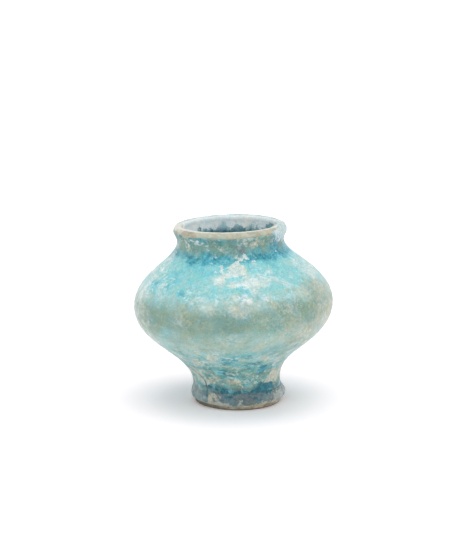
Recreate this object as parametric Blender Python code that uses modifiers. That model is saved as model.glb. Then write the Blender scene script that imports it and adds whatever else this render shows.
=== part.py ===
"""Small thrown jar with a weathered turquoise glaze.

The jar is one body of fired clay that carries four coats of glaze: one outside, one inside, a
thick roll that gathered round the foot, and a run over the lip. Every piece is turned from an
outline of (radius, height) points and then given the same lean and tilt that the potter's hand
left in the real jar, so that the seats between the pieces stay true.

All lengths are metres. +Z is up, the jar stands on z = 0, and the foot's centre is the origin.
"""

import math

import bmesh
import bpy
from mathutils import Matrix, Vector
from mathutils.geometry import interpolate_bezier

# Outer form, measured over the glaze: the rings that the outline passes through
BASE_RADIUS = 0.0217
FOOT_RADIUS = 0.0232
FOOT_HEIGHT = 0.0045
WAIST_RADIUS = 0.0218
WAIST_HEIGHT = 0.0100
BELLY_RADIUS = 0.0493
BELLY_HEIGHT = 0.0499
JAR_HEIGHT = 0.0898
NECK_RADIUS = 0.0262
NECK_BELOW_CREST = 0.0076
LIP_RADIUS = 0.0278
LIP_BELOW_CREST = 0.0029
CREST_RADIUS = 0.0251

# How far the outline runs on straight up or down at a ring before it turns away
FOOT_RUN = 0.0020
WAIST_RUN_DOWN = 0.0020
WAIST_RUN_UP = 0.0172
BELLY_RUN_DOWN = 0.0181
BELLY_RUN_UP = 0.0161
NECK_RUN_DOWN = 0.0100
NECK_RUN_UP = 0.0017
LIP_RUN_DOWN = 0.0015

# Hollow, measured inside the glaze: the wall is even above its foot and thickens below it
WALL = 0.0040
WALL_FOOT_HEIGHT = 0.0240
FLOOR_HEIGHT = 0.0140
FLOOR_REACH = 0.0130
FLOOR_ROUND = 0.0080
MOUTH_RADIUS = 0.0233
MOUTH_ROUND = 0.0024

# Glaze coats and the clearance that they keep to the clay and to each other
COAT_THICKNESS = 0.0005
COAT_GAP = 0.0003
BARE_LIP_OUTSIDE = 0.0050
BARE_LIP_INSIDE = 0.0048
ROLL_TOP = 0.0092
ROLL_BOTTOM = 0.0016
LIP_RUN_THICKNESS = 0.0004
LIP_RUN_OUTSIDE = 0.0063
LIP_RUN_INSIDE = 0.0036
LIP_RUN_START = math.radians(-46.0)
LIP_RUN_SWEEP = math.radians(58.0)

# The potter's hand: the jar leans to -X, and its belly and rim stand higher at +X
LEAN = 0.0465
WAIST_TILT = 0.0138
BELLY_TILT = 0.0461
RIM_TILT = 0.0282
FLANK_SWAY = 0.0011
FLANK_SWAY_HEIGHT = 0.0240
FLANK_SWAY_REACH = 0.0100
FOOT_SWELL = 0.0008
FOOT_SWELL_REACH = 0.0022
FOOT_SWELL_ARC = math.radians(28.0)

# Fineness of the solids
TURN_STEPS = 40
FOOT_STEPS = 3
WAIST_STEPS = 3
FLANK_STEPS = 8
SHOULDER_STEPS = 9
NECK_STEPS = 2
LIP_STEPS = 3
FLOOR_STEPS = 5
WELD = 0.00001
SMOOTH_UNDER = math.radians(40.0)

CLAY = ("buff_clay", (0.62, 0.54, 0.41), 0.85)
TURQUOISE = ("turquoise_glaze", (0.26, 0.56, 0.56), 0.38)
DARK_POOL = ("pooled_blue_glaze", (0.22, 0.33, 0.38), 0.35)
GREY_BLUE = ("grey_blue_glaze", (0.50, 0.60, 0.60), 0.45)
PALE_RUN = ("pale_glaze", (0.68, 0.78, 0.78), 0.35)


def ring(radius, height):
    """A point of the outline: its distance from the axis and its height."""
    return Vector((radius, height))


def curve(start, start_handle, end_handle, end, steps):
    """Points along one curve of the outline, both ends included."""
    return [point.to_2d() for point in interpolate_bezier(
        start.to_3d(), start_handle.to_3d(), end_handle.to_3d(), end.to_3d(), steps + 1)]


def quarter(centre, start, end, steps):
    """Points of a quarter ellipse about a centre, from one end of it to the other."""
    points = []
    for step in range(steps + 1):
        angle = math.pi / 2 * step / steps
        points.append(centre + (start - centre) * math.cos(angle) + (end - centre) * math.sin(angle))
    return points


def joined(*stretches):
    """One line from stretches that follow each other, with no point twice."""
    line = list(stretches[0])
    for stretch in stretches[1:]:
        for point in stretch:
            if (point - line[-1]).length > WELD:
                line.append(point)
    return line


def between(line, low, high):
    """The part of a line that lies between two heights, cut exactly at both."""
    kept = []
    for start, end in zip(line, line[1:]):
        cuts = [0.0, 1.0]
        for level in (low, high):
            if (start.y - level) * (end.y - level) < 0:
                cuts.append((level - start.y) / (end.y - start.y))
        for share in sorted(cuts):
            point = start.lerp(end, share)
            if low - WELD / 2 <= point.y <= high + WELD / 2:
                if not kept or (point - kept[-1]).length > WELD / 2:
                    kept.append(point)
    return kept


def shifted(line, distance):
    """A line moved sideways, to the left of its direction of travel for a positive distance.

    A point on the axis stays on the axis.
    """
    moved = []
    for index, point in enumerate(line):
        before = line[max(index - 1, 0)]
        after = line[min(index + 1, len(line) - 1)]
        along = (after - before).normalized()
        place = point + Vector((-along.y, along.x)) * distance
        if point.x < WELD:
            place.x = 0.0
        moved.append(place)
    return moved


def outer_line():
    """The jar's outside over the glaze, from the crest of the lip down to the ground."""
    crest = ring(CREST_RADIUS, JAR_HEIGHT)
    lip = ring(LIP_RADIUS, JAR_HEIGHT - LIP_BELOW_CREST)
    neck = ring(NECK_RADIUS, JAR_HEIGHT - NECK_BELOW_CREST)
    belly = ring(BELLY_RADIUS, BELLY_HEIGHT)
    waist = ring(WAIST_RADIUS, WAIST_HEIGHT)
    foot = ring(FOOT_RADIUS, FOOT_HEIGHT)
    base = ring(BASE_RADIUS, 0.0)
    return joined(
        quarter(ring(crest.x, lip.y), crest, lip, LIP_STEPS),
        curve(lip, lip - ring(0, LIP_RUN_DOWN), neck + ring(0, NECK_RUN_UP), neck, NECK_STEPS),
        curve(neck, neck - ring(0, NECK_RUN_DOWN), belly + ring(0, BELLY_RUN_UP), belly,
              SHOULDER_STEPS),
        curve(belly, belly - ring(0, BELLY_RUN_DOWN), waist + ring(0, WAIST_RUN_UP), waist,
              FLANK_STEPS),
        curve(waist, waist - ring(0, WAIST_RUN_DOWN), foot + ring(0, FOOT_RUN), foot, WAIST_STEPS),
        curve(foot, foot - ring(0, FOOT_RUN), base, base, FOOT_STEPS),
    )


def hollow_line():
    """The jar's inside over the glaze, from the middle of the floor up to the crest of the lip."""
    neck_height = JAR_HEIGHT - NECK_BELOW_CREST
    wall = shifted(between(outer_line(), WALL_FOOT_HEIGHT, neck_height), -WALL)[::-1]
    rise = (wall[1] - wall[0]).normalized() * FLOOR_ROUND
    floor = ring(0.0, FLOOR_HEIGHT)
    neck = wall[-1]
    mouth = ring(MOUTH_RADIUS, JAR_HEIGHT - MOUTH_ROUND)
    crest = ring(CREST_RADIUS, JAR_HEIGHT)
    return joined(
        curve(floor, floor + ring(FLOOR_REACH, 0), wall[0] - rise, wall[0], FLOOR_STEPS),
        wall,
        curve(neck, neck + ring(0, NECK_RUN_UP), mouth - ring(0, NECK_RUN_UP), mouth, NECK_STEPS),
        quarter(ring(crest.x, mouth.y), mouth, crest, LIP_STEPS),
    )


def clay_side():
    """The clay under the outer coats, from the lip's underside down to the base's edge."""
    coat = COAT_THICKNESS + COAT_GAP
    step_height = JAR_HEIGHT - BARE_LIP_OUTSIDE + COAT_GAP
    wall = shifted(between(outer_line(), WAIST_HEIGHT, step_height), -coat)
    foot_wall = ring(WAIST_RADIUS - coat, ROLL_BOTTOM - COAT_GAP)
    return joined(wall, [foot_wall])


def coat_outline(low, high):
    """An outer coat between two heights: down its face, and up again along its seat on the clay."""
    face = between(outer_line(), low, high)
    seat = between(shifted(clay_side(), COAT_GAP), low, high)
    return face + seat[::-1]


def clay_outline():
    """The clay body, from the middle of its floor over the lip to the middle of its base."""
    coat = COAT_THICKNESS + COAT_GAP
    hollow = hollow_line()
    outside = outer_line()
    inner_step = JAR_HEIGHT - BARE_LIP_INSIDE + COAT_GAP
    outer_step = JAR_HEIGHT - BARE_LIP_OUTSIDE + COAT_GAP
    return joined(
        shifted(between(hollow, FLOOR_HEIGHT, inner_step), -coat),
        between(hollow, inner_step, JAR_HEIGHT),
        between(outside, outer_step, JAR_HEIGHT),
        clay_side(),
        between(outside, 0.0, ROLL_BOTTOM - COAT_GAP),
        [ring(0.0, 0.0)],
    )


def inner_coat_outline():
    """The inner coat: up its face from the middle of the floor, and down again along its seat."""
    face = between(hollow_line(), FLOOR_HEIGHT, JAR_HEIGHT - BARE_LIP_INSIDE)
    seat = shifted(face, -COAT_THICKNESS)
    return face + seat[::-1]


def lip_run_outline():
    """The run over the lip: across its face, then back along its seat on the clay."""
    lip = joined(
        between(hollow_line(), JAR_HEIGHT - LIP_RUN_INSIDE, JAR_HEIGHT),
        between(outer_line(), JAR_HEIGHT - LIP_RUN_OUTSIDE, JAR_HEIGHT),
    )
    return shifted(lip, COAT_GAP + LIP_RUN_THICKNESS) + shifted(lip, COAT_GAP)[::-1]


def tilt_at(height):
    """How much the jar rises for each metre towards +X, at a height."""
    stations = [
        (0.0, 0.0), (WAIST_HEIGHT, WAIST_TILT), (BELLY_HEIGHT, BELLY_TILT), (JAR_HEIGHT, RIM_TILT),
    ]
    for (low, low_tilt), (high, high_tilt) in zip(stations, stations[1:]):
        if height <= high:
            share = max(height - low, 0.0) / (high - low)
            return low_tilt + (high_tilt - low_tilt) * share
    return RIM_TILT


def bump(distance, reach):
    """A smooth hill of height 1, which has sunk to about a third at its reach."""
    return math.exp(-(distance / reach) ** 2)


def by_hand(point):
    """Where the potter's hand left a point of the true turned form."""
    radius = math.hypot(point.x, point.y)
    angle = math.atan2(point.y, point.x)
    swell = (FOOT_SWELL * radius / FOOT_RADIUS * bump(angle, FOOT_SWELL_ARC)
             * bump(point.z - FOOT_HEIGHT, FOOT_SWELL_REACH))
    lean = LEAN * point.z + FLANK_SWAY * bump(point.z - FLANK_SWAY_HEIGHT, FLANK_SWAY_REACH)
    grounded = min(max(point.z, 0.0) / WAIST_HEIGHT, 1.0)
    return Vector((
        point.x + swell * math.cos(angle) - lean * grounded,
        point.y + swell * math.sin(angle),
        point.z + point.x * tilt_at(point.z),
    ))


def finish(name, colour, roughness):
    """A plain Principled material for one kind of surface."""
    material = bpy.data.materials.new(name)
    material.use_nodes = True
    shader = material.node_tree.nodes["Principled BSDF"]
    shader.inputs["Base Color"].default_value = (*colour, 1.0)
    shader.inputs["Roughness"].default_value = roughness
    shader.inputs["Metallic"].default_value = 0.0
    return material


def outline_mesh(name, outline, ring_shaped):
    """The outline as a wire in the XZ plane, closed on itself for a piece that is a ring."""
    wire = bmesh.new()
    corners = [wire.verts.new((point.x, 0.0, point.y)) for point in outline]
    for start, end in zip(corners, corners[1:]):
        wire.edges.new((start, end))
    if ring_shaped:
        wire.edges.new((corners[-1], corners[0]))
    mesh = bpy.data.meshes.new(name)
    wire.to_mesh(mesh)
    wire.free()
    return mesh


def evaluated_mesh(item):
    """A new mesh that holds what the object's modifiers make of it."""
    bpy.context.view_layer.update()
    graph = bpy.context.evaluated_depsgraph_get()
    return bpy.data.meshes.new_from_object(item.evaluated_get(graph))


def turned(name, outline, look, parts, ring_shaped=True, start=0.0, sweep=2 * math.pi):
    """Turns an outline about Z, closes its ends if it isn't a full turn, and sets it by hand."""
    item = bpy.data.objects.new(name, outline_mesh(name, outline, ring_shaped))
    parts.objects.link(item)
    whole = math.isclose(sweep, 2 * math.pi)
    screw = item.modifiers.new("turn", "SCREW")
    screw.axis = "Z"
    screw.angle = sweep
    screw.steps = TURN_STEPS if whole else round(TURN_STEPS * sweep / (2 * math.pi))
    screw.render_steps = screw.steps
    screw.use_merge_vertices = whole
    screw.merge_threshold = WELD
    mesh = evaluated_mesh(item)
    item.modifiers.clear()

    shape = bmesh.new()
    shape.from_mesh(mesh)
    bmesh.ops.rotate(shape, verts=shape.verts, matrix=Matrix.Rotation(start, 3, "Z"))
    open_edges = [edge for edge in shape.edges if edge.is_boundary]
    if open_edges:
        bmesh.ops.holes_fill(shape, edges=open_edges, sides=0)
        bmesh.ops.recalc_face_normals(shape, faces=shape.faces)
    for vert in shape.verts:
        vert.co = by_hand(vert.co)
    shape.to_mesh(mesh)
    shape.free()

    mesh.name = name
    mesh.shade_smooth()
    mesh.set_sharp_from_angle(angle=SMOOTH_UNDER)
    mesh.materials.clear()
    mesh.materials.append(finish(*look))
    item.data = mesh
    return item


def build_jar():
    """Makes the clay body and its four glaze coats, held by one empty at the foot's centre."""
    for item in list(bpy.data.objects):
        bpy.data.objects.remove(item)
    parts = bpy.data.collections.new("glazed_jar")
    bpy.context.scene.collection.children.link(parts)
    stand = bpy.data.objects.new("jar_on_its_foot", None)
    parts.objects.link(stand)

    coat_top = JAR_HEIGHT - BARE_LIP_OUTSIDE
    pieces = [
        turned("clay_body", clay_outline(), CLAY, parts, ring_shaped=False),
        turned("outer_glaze", coat_outline(ROLL_TOP + COAT_GAP, coat_top), TURQUOISE, parts),
        turned("foot_glaze_roll", coat_outline(ROLL_BOTTOM, ROLL_TOP), DARK_POOL, parts),
        turned("inner_glaze", inner_coat_outline(), GREY_BLUE, parts, ring_shaped=False),
        turned("lip_glaze_run", lip_run_outline(), PALE_RUN, parts,
               start=LIP_RUN_START, sweep=LIP_RUN_SWEEP),
    ]
    for piece in pieces:
        piece.parent = stand


build_jar()
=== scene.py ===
"""A small thrown jar in buff clay under a weathered turquoise glaze, on a pale studio floor.

The jar is a turned form that the potter's hand left a little out of true. One Geometry Nodes
tree turns every piece from an outline of (radius, height) points, then leans and tilts it.
The wear of the glaze is then laid over the turned pieces: each kind of wear is a field over the
surface, built from named patches and seeded noise, that shapes the relief and is kept on the
mesh as an attribute for the material. A few patches and rules also paint light into the glaze:
painted sheen at the sides, a painted highlight on the far rim, and painted shade and light inside
the mouth. The clay's stains paint a shadow at its base and a highlight along its lip. Lengths are
metres unless a name ends in _mm.
"""

import logging
import math
from dataclasses import dataclass, fields
from enum import Enum, IntEnum
from typing import Callable, Optional, Sequence

import bmesh
import bpy
import numpy as np
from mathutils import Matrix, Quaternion, Vector


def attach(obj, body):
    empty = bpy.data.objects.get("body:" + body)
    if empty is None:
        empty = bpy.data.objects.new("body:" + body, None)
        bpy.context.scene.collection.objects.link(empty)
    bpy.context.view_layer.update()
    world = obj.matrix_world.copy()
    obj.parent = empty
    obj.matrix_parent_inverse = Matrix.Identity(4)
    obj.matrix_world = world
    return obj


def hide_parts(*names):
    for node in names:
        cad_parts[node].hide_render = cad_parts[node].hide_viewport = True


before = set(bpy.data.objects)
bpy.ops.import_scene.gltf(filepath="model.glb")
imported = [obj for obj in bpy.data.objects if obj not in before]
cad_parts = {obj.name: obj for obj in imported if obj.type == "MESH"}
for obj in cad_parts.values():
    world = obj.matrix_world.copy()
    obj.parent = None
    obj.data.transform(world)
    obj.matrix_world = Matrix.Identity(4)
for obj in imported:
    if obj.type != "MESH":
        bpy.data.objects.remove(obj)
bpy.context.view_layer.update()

log = logging.getLogger("glazed_jar")

MM = 0.001
FULL_TURN = 2.0 * math.pi
# A point closer to the axis than this lies on it
ON_AXIS = 1e-6
# How far a coat's hidden seat lies behind its face
SEAT_DEPTH = 0.0006
# A height above every point of the jar
ABOVE_LIP = 1.0

Array = np.ndarray
Socket = bpy.types.NodeSocket
Colour = tuple[float, float, float]
Stations = tuple[tuple[float, float], ...]


class Layer(Enum):
    """The kinds of wear and build-up on the glaze, each kept on the mesh under its value."""

    DEPTH = "glaze_depth"
    CRUST = "pale_crust"
    BARE = "bare_clay"
    SAGE = "sage_film"
    VIOLET = "violet_bloom"
    RUST = "rust_stain"


DEPTH, CRUST, BARE, SAGE, VIOLET, RUST = Layer


class Seed(IntEnum):
    """The seed of each noise. Those of WANDER, BROAD, MARKS and DRAWN go up by one a layer."""

    PATCH_EDGE = 7
    BROAD = 20
    TOP_EDGE = 31
    FOOT_EDGE = 32
    INNER_EDGE = 33
    ROLL_EDGE = 34
    RUN_SIDE = 35
    RUN_FOOT = 36
    MARKS = 40
    BACK = 41
    RINGS = 51
    LUMPS = 52
    DRAWN = 60
    CLAY_GRAIN = 61
    TAN = 62
    ORANGE = 63
    GRIME_AND_SHADOW = 64
    FILM = 65
    LIP_HIGHLIGHT = 66
    GLAZE_GRAIN = 71
    STROKES = 77
    WANDER = 90


@dataclass(frozen=True)
class Patch:
    """One given place where a layer is stronger or weaker than around it.

    Bearing is in degrees from the front, positive to the right of the picture. Height, and the
    reach across and up, are millimetres on the turned form. Slant turns the patch, in degrees.
    """

    layer: Layer
    bearing: float
    height: float
    across: float
    up: float
    strength: float
    slant: float = 0.0
    ragged: float = 0.55


@dataclass(frozen=True)
class JarForm:
    """The jar's outline over the glaze, as rings that it passes through, and its hollow."""

    base_radius: float = 0.0217
    heel: float = 0.0009
    foot_radius: float = 0.0232
    foot_height: float = 0.0045
    waist_radius: float = 0.0218
    waist_height: float = 0.0100
    belly_radius: float = 0.0493
    belly_height: float = 0.0499
    neck_radius: float = 0.0262
    neck_height: float = 0.0822
    lip_radius: float = 0.0278
    lip_height: float = 0.0869
    crest_radius: float = 0.0251
    crest_height: float = 0.0898
    mouth_radius: float = 0.0233
    mouth_height: float = 0.0874
    wall: float = 0.0040
    wall_foot_height: float = 0.0240
    floor_height: float = 0.0140
    floor_reach: float = 0.0130
    floor_round: float = 0.0080

    @staticmethod
    def curve(start: Sequence[float], leave: Sequence[float], arrive: Sequence[float],
              end: Sequence[float], steps: int = 90) -> Array:
        """Points of one Bezier stretch of the outline.

        Args:
            start: First point, as radius and height.
            leave: Handle that the stretch leaves towards.
            arrive: Handle that the stretch arrives from.
            end: Last point.
            steps: Number of pieces that the stretch is cut into.

        Returns:
            An array of radius and height, both ends included.
        """
        share = np.linspace(0.0, 1.0, steps + 1)[:, None]
        rest = 1.0 - share
        corners = [np.array(point, float) for point in (start, leave, arrive, end)]
        weights = (rest ** 3, 3 * rest ** 2 * share, 3 * rest * share ** 2, share ** 3)
        return sum(weight * corner for weight, corner in zip(weights, corners))

    @staticmethod
    def quarter(centre: Sequence[float], start: Sequence[float], end: Sequence[float],
                steps: int = 40) -> Array:
        """Points of a quarter ellipse about a centre.

        Args:
            centre: Middle of the ellipse, as radius and height.
            start: First point of the quarter.
            end: Last point of the quarter.
            steps: Number of pieces that the quarter is cut into.

        Returns:
            An array of radius and height, both ends included.
        """
        angle = np.linspace(0.0, math.pi / 2, steps + 1)[:, None]
        middle, first, last = (np.array(point, float) for point in (centre, start, end))
        return middle + (first - middle) * np.cos(angle) + (last - middle) * np.sin(angle)

    def outside(self) -> Array:
        """The outside from the crest of the lip down to the edge of the base.

        Returns:
            An array of radius and height.
        """
        crest, lip = (self.crest_radius, self.crest_height), (self.lip_radius, self.lip_height)
        neck, belly = (self.neck_radius, self.neck_height), (self.belly_radius, self.belly_height)
        waist, foot = (self.waist_radius, self.waist_height), (self.foot_radius, self.foot_height)
        heel, base = (self.base_radius, self.heel), (self.base_radius - self.heel, 0.0)
        stretches = [
            self.quarter((crest[0], lip[1]), crest, lip),
            self.curve(lip, (lip[0], lip[1] - 0.0015), (neck[0], neck[1] + 0.0017), neck, 40),
            self.curve(neck, (neck[0], neck[1] - 0.0100), (belly[0], belly[1] + 0.0161), belly),
            self.curve(belly, (belly[0], belly[1] - 0.0181), (waist[0], waist[1] + 0.0172), waist),
            self.curve(waist, (waist[0], waist[1] - 0.0020), (foot[0], foot[1] + 0.0020), foot, 40),
            self.curve(foot, (foot[0], foot[1] - 0.0016), heel, heel, 40),
            self.quarter((base[0], heel[1]), heel, base, 12),
        ]
        return Outline.joined(stretches)

    def inside(self) -> Array:
        """The hollow from the middle of the floor up to the crest of the lip.

        Returns:
            An array of radius and height.
        """
        outer = Outline.cut(self.outside(), self.wall_foot_height, self.neck_height)
        wall = Outline.shifted(outer, -self.wall)[::-1]
        rise = (wall[1] - wall[0]) / np.linalg.norm(wall[1] - wall[0]) * self.floor_round
        floor = (0.0, self.floor_height)
        neck, mouth = wall[-1], (self.mouth_radius, self.mouth_height)
        crest = (self.crest_radius, self.crest_height)
        stretches = [
            self.curve(floor, (self.floor_reach, floor[1]), wall[0] - rise, wall[0], 60),
            wall,
            self.curve(neck, (neck[0], neck[1] + 0.0017), (mouth[0], mouth[1] - 0.0017), mouth, 40),
            self.quarter((crest[0], mouth[1]), mouth, crest),
        ]
        return Outline.joined(stretches)


class Outline:
    """Joins, cuts, shifts and samples lines of (radius, height) points."""

    @staticmethod
    def joined(stretches: Sequence[Array]) -> Array:
        """Stretches that meet end to end, as one line with each meeting point kept once."""
        return np.vstack([stretches[0]] + [stretch[1:] for stretch in stretches[1:]])

    @staticmethod
    def facing(line: Array) -> Array:
        """The way that a line faces: unit vectors to the left of its direction of travel.

        Args:
            line: The points of the line.

        Returns:
            One vector for each point.
        """
        along = np.gradient(line, axis=0)
        along /= np.linalg.norm(along, axis=1)[:, None]
        return np.stack([-along[:, 1], along[:, 0]], axis=1)

    @staticmethod
    def cut(line: Array, low: float, high: float) -> Array:
        """The part of a line that lies between two heights.

        Args:
            line: Points whose height runs one way.
            low: Lower height.
            high: Upper height.

        Returns:
            The points between the heights, with exact ends.
        """
        rising = line[-1, 1] > line[0, 1]
        climb = line if rising else line[::-1]
        low, high = max(low, climb[0, 1]), min(high, climb[-1, 1])
        inner = climb[(climb[:, 1] > low) & (climb[:, 1] < high)]
        ends = [(np.interp(level, climb[:, 1], climb[:, 0]), level) for level in (low, high)]
        kept = np.vstack([ends[:1], inner, ends[1:]])
        return kept if rising else kept[::-1]

    @classmethod
    def shifted(cls, line: Array, distance: float) -> Array:
        """A line moved to the left of its direction of travel.

        Args:
            line: The points to move.
            distance: How far they move.

        Returns:
            The moved points. A point on the axis stays on it.
        """
        moved = line + cls.facing(line) * distance
        moved[line[:, 0] < ON_AXIS, 0] = 0.0
        return moved

    @staticmethod
    def sampled(line: Array, rows: int) -> Array:
        """A line with its points spread evenly along its length.

        Args:
            line: The points to follow.
            rows: Number of points wanted.

        Returns:
            The evenly spread points.
        """
        steps = np.linalg.norm(np.diff(line, axis=0), axis=1)
        travel = np.concatenate([[0.0], np.cumsum(steps)])
        places = np.linspace(0.0, travel[-1], rows)
        return np.stack([np.interp(places, travel, line[:, side]) for side in (0, 1)], axis=1)


class Grain:
    """Seeded smooth noise for points in space."""

    # Large odd numbers that stir the bits of a place and a seed
    AXIS_KEYS = (73856093, 19349663, 83492791)
    SEED_KEY = 2654435761
    STIRS = ((15, 2246822519), (13, 3266489917))
    # How far each layer, and each seed, moves the noise, so that no two have their corners together
    LAYER_SHIFT = np.array([37.7, 71.3, 13.9])
    SEED_SHIFT = 0.731

    @classmethod
    def lattice(cls, points: Array, seed: int) -> Array:
        """Smooth noise with a value between -1 and 1 at each whole-number corner.

        Args:
            points: Places to read, one a row.
            seed: Number that picks the pattern.

        Returns:
            One value for each place.
        """
        cell = np.floor(points).astype(np.int64)
        share = points - cell
        share = share ** 3 * (share * (share * 6 - 15) + 10)
        total = np.zeros(len(points))
        for corner in np.ndindex(2, 2, 2):
            here = (cell + corner).astype(np.uint64)
            code = np.uint64(seed * cls.SEED_KEY % 2 ** 32)
            for side, key in enumerate(cls.AXIS_KEYS):
                code = code ^ here[:, side] * np.uint64(key)
            for shift, key in cls.STIRS:
                code = (code ^ code >> np.uint64(shift)) * np.uint64(key)
            value = ((code ^ code >> np.uint64(16)) & np.uint64(65535)).astype(float) / 32767.5 - 1
            weight = np.prod(np.where(corner, share, 1.0 - share), axis=1)
            total += weight * value
        return total

    @classmethod
    def cloud(cls, points: Array, size: float, seed: int, octaves: int = 4) -> Array:
        """Layered noise whose largest features have a given size.

        Args:
            points: Places to read, one a row.
            size: Size of the largest features, in the unit of the points.
            seed: Number that picks the pattern.
            octaves: Number of layers, each half the size and half the height of the last.

        Returns:
            One value for each place, mostly between -1 and 1.
        """
        total = np.zeros(len(points))
        height = 1.0
        for octave in range(octaves):
            shift = cls.LAYER_SHIFT * (octave + 1) + seed * cls.SEED_SHIFT
            total += height * cls.lattice(points / size * 2 ** octave + shift, seed + octave)
            height *= 0.5
        return total * 1.25


def eased(value: Array, low: float, high: float) -> Array:
    """A smooth step from 0 at the low value to 1 at the high one."""
    share = np.clip((value - low) / (high - low), 0.0, 1.0)
    return share * share * (3.0 - 2.0 * share)


def hill(distance: Array, reach: float) -> Array:
    """A smooth hill of height 1 that has sunk to about a third at its reach."""
    return np.exp(-(distance / reach) ** 2)


@dataclass(frozen=True)
class Surface:
    """Where the points of a piece lie on the true turned form."""

    place_mm: Array
    bearing: Array
    height: Array
    radius: Array

    @classmethod
    def of(cls, turned: Array) -> "Surface":
        """The surface coordinates of points.

        Args:
            turned: Points on the turned form in metres, before the lean and tilt.

        Returns:
            Their places in millimetres, bearings in degrees from the front, heights and radii.
        """
        place = turned / MM
        bearing = np.degrees(np.arctan2(place[:, 0], -place[:, 1]))
        return cls(place, bearing, place[:, 2], np.hypot(place[:, 0], place[:, 1]))

    def cloud(self, size_mm: float, seed: int, octaves: int = 4, tall: float = 1.0) -> Array:
        """Noise over the surface.

        Args:
            size_mm: Size of the largest features.
            seed: Number that picks the pattern.
            octaves: Number of layers of noise.
            tall: How much longer the features are upwards than across.

        Returns:
            One value for each point.
        """
        return Grain.cloud(self.place_mm / (1.0, 1.0, tall), size_mm, seed, octaves)

    def rule(self, stations: Stations) -> Array:
        """The value that a rule by height has at each point."""
        return np.interp(self.height, *zip(*stations))

    def away(self, bearing: float) -> Array:
        """How many degrees each point's bearing lies to the right of a bearing."""
        return (self.bearing - bearing + 180.0) % 360.0 - 180.0


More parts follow.
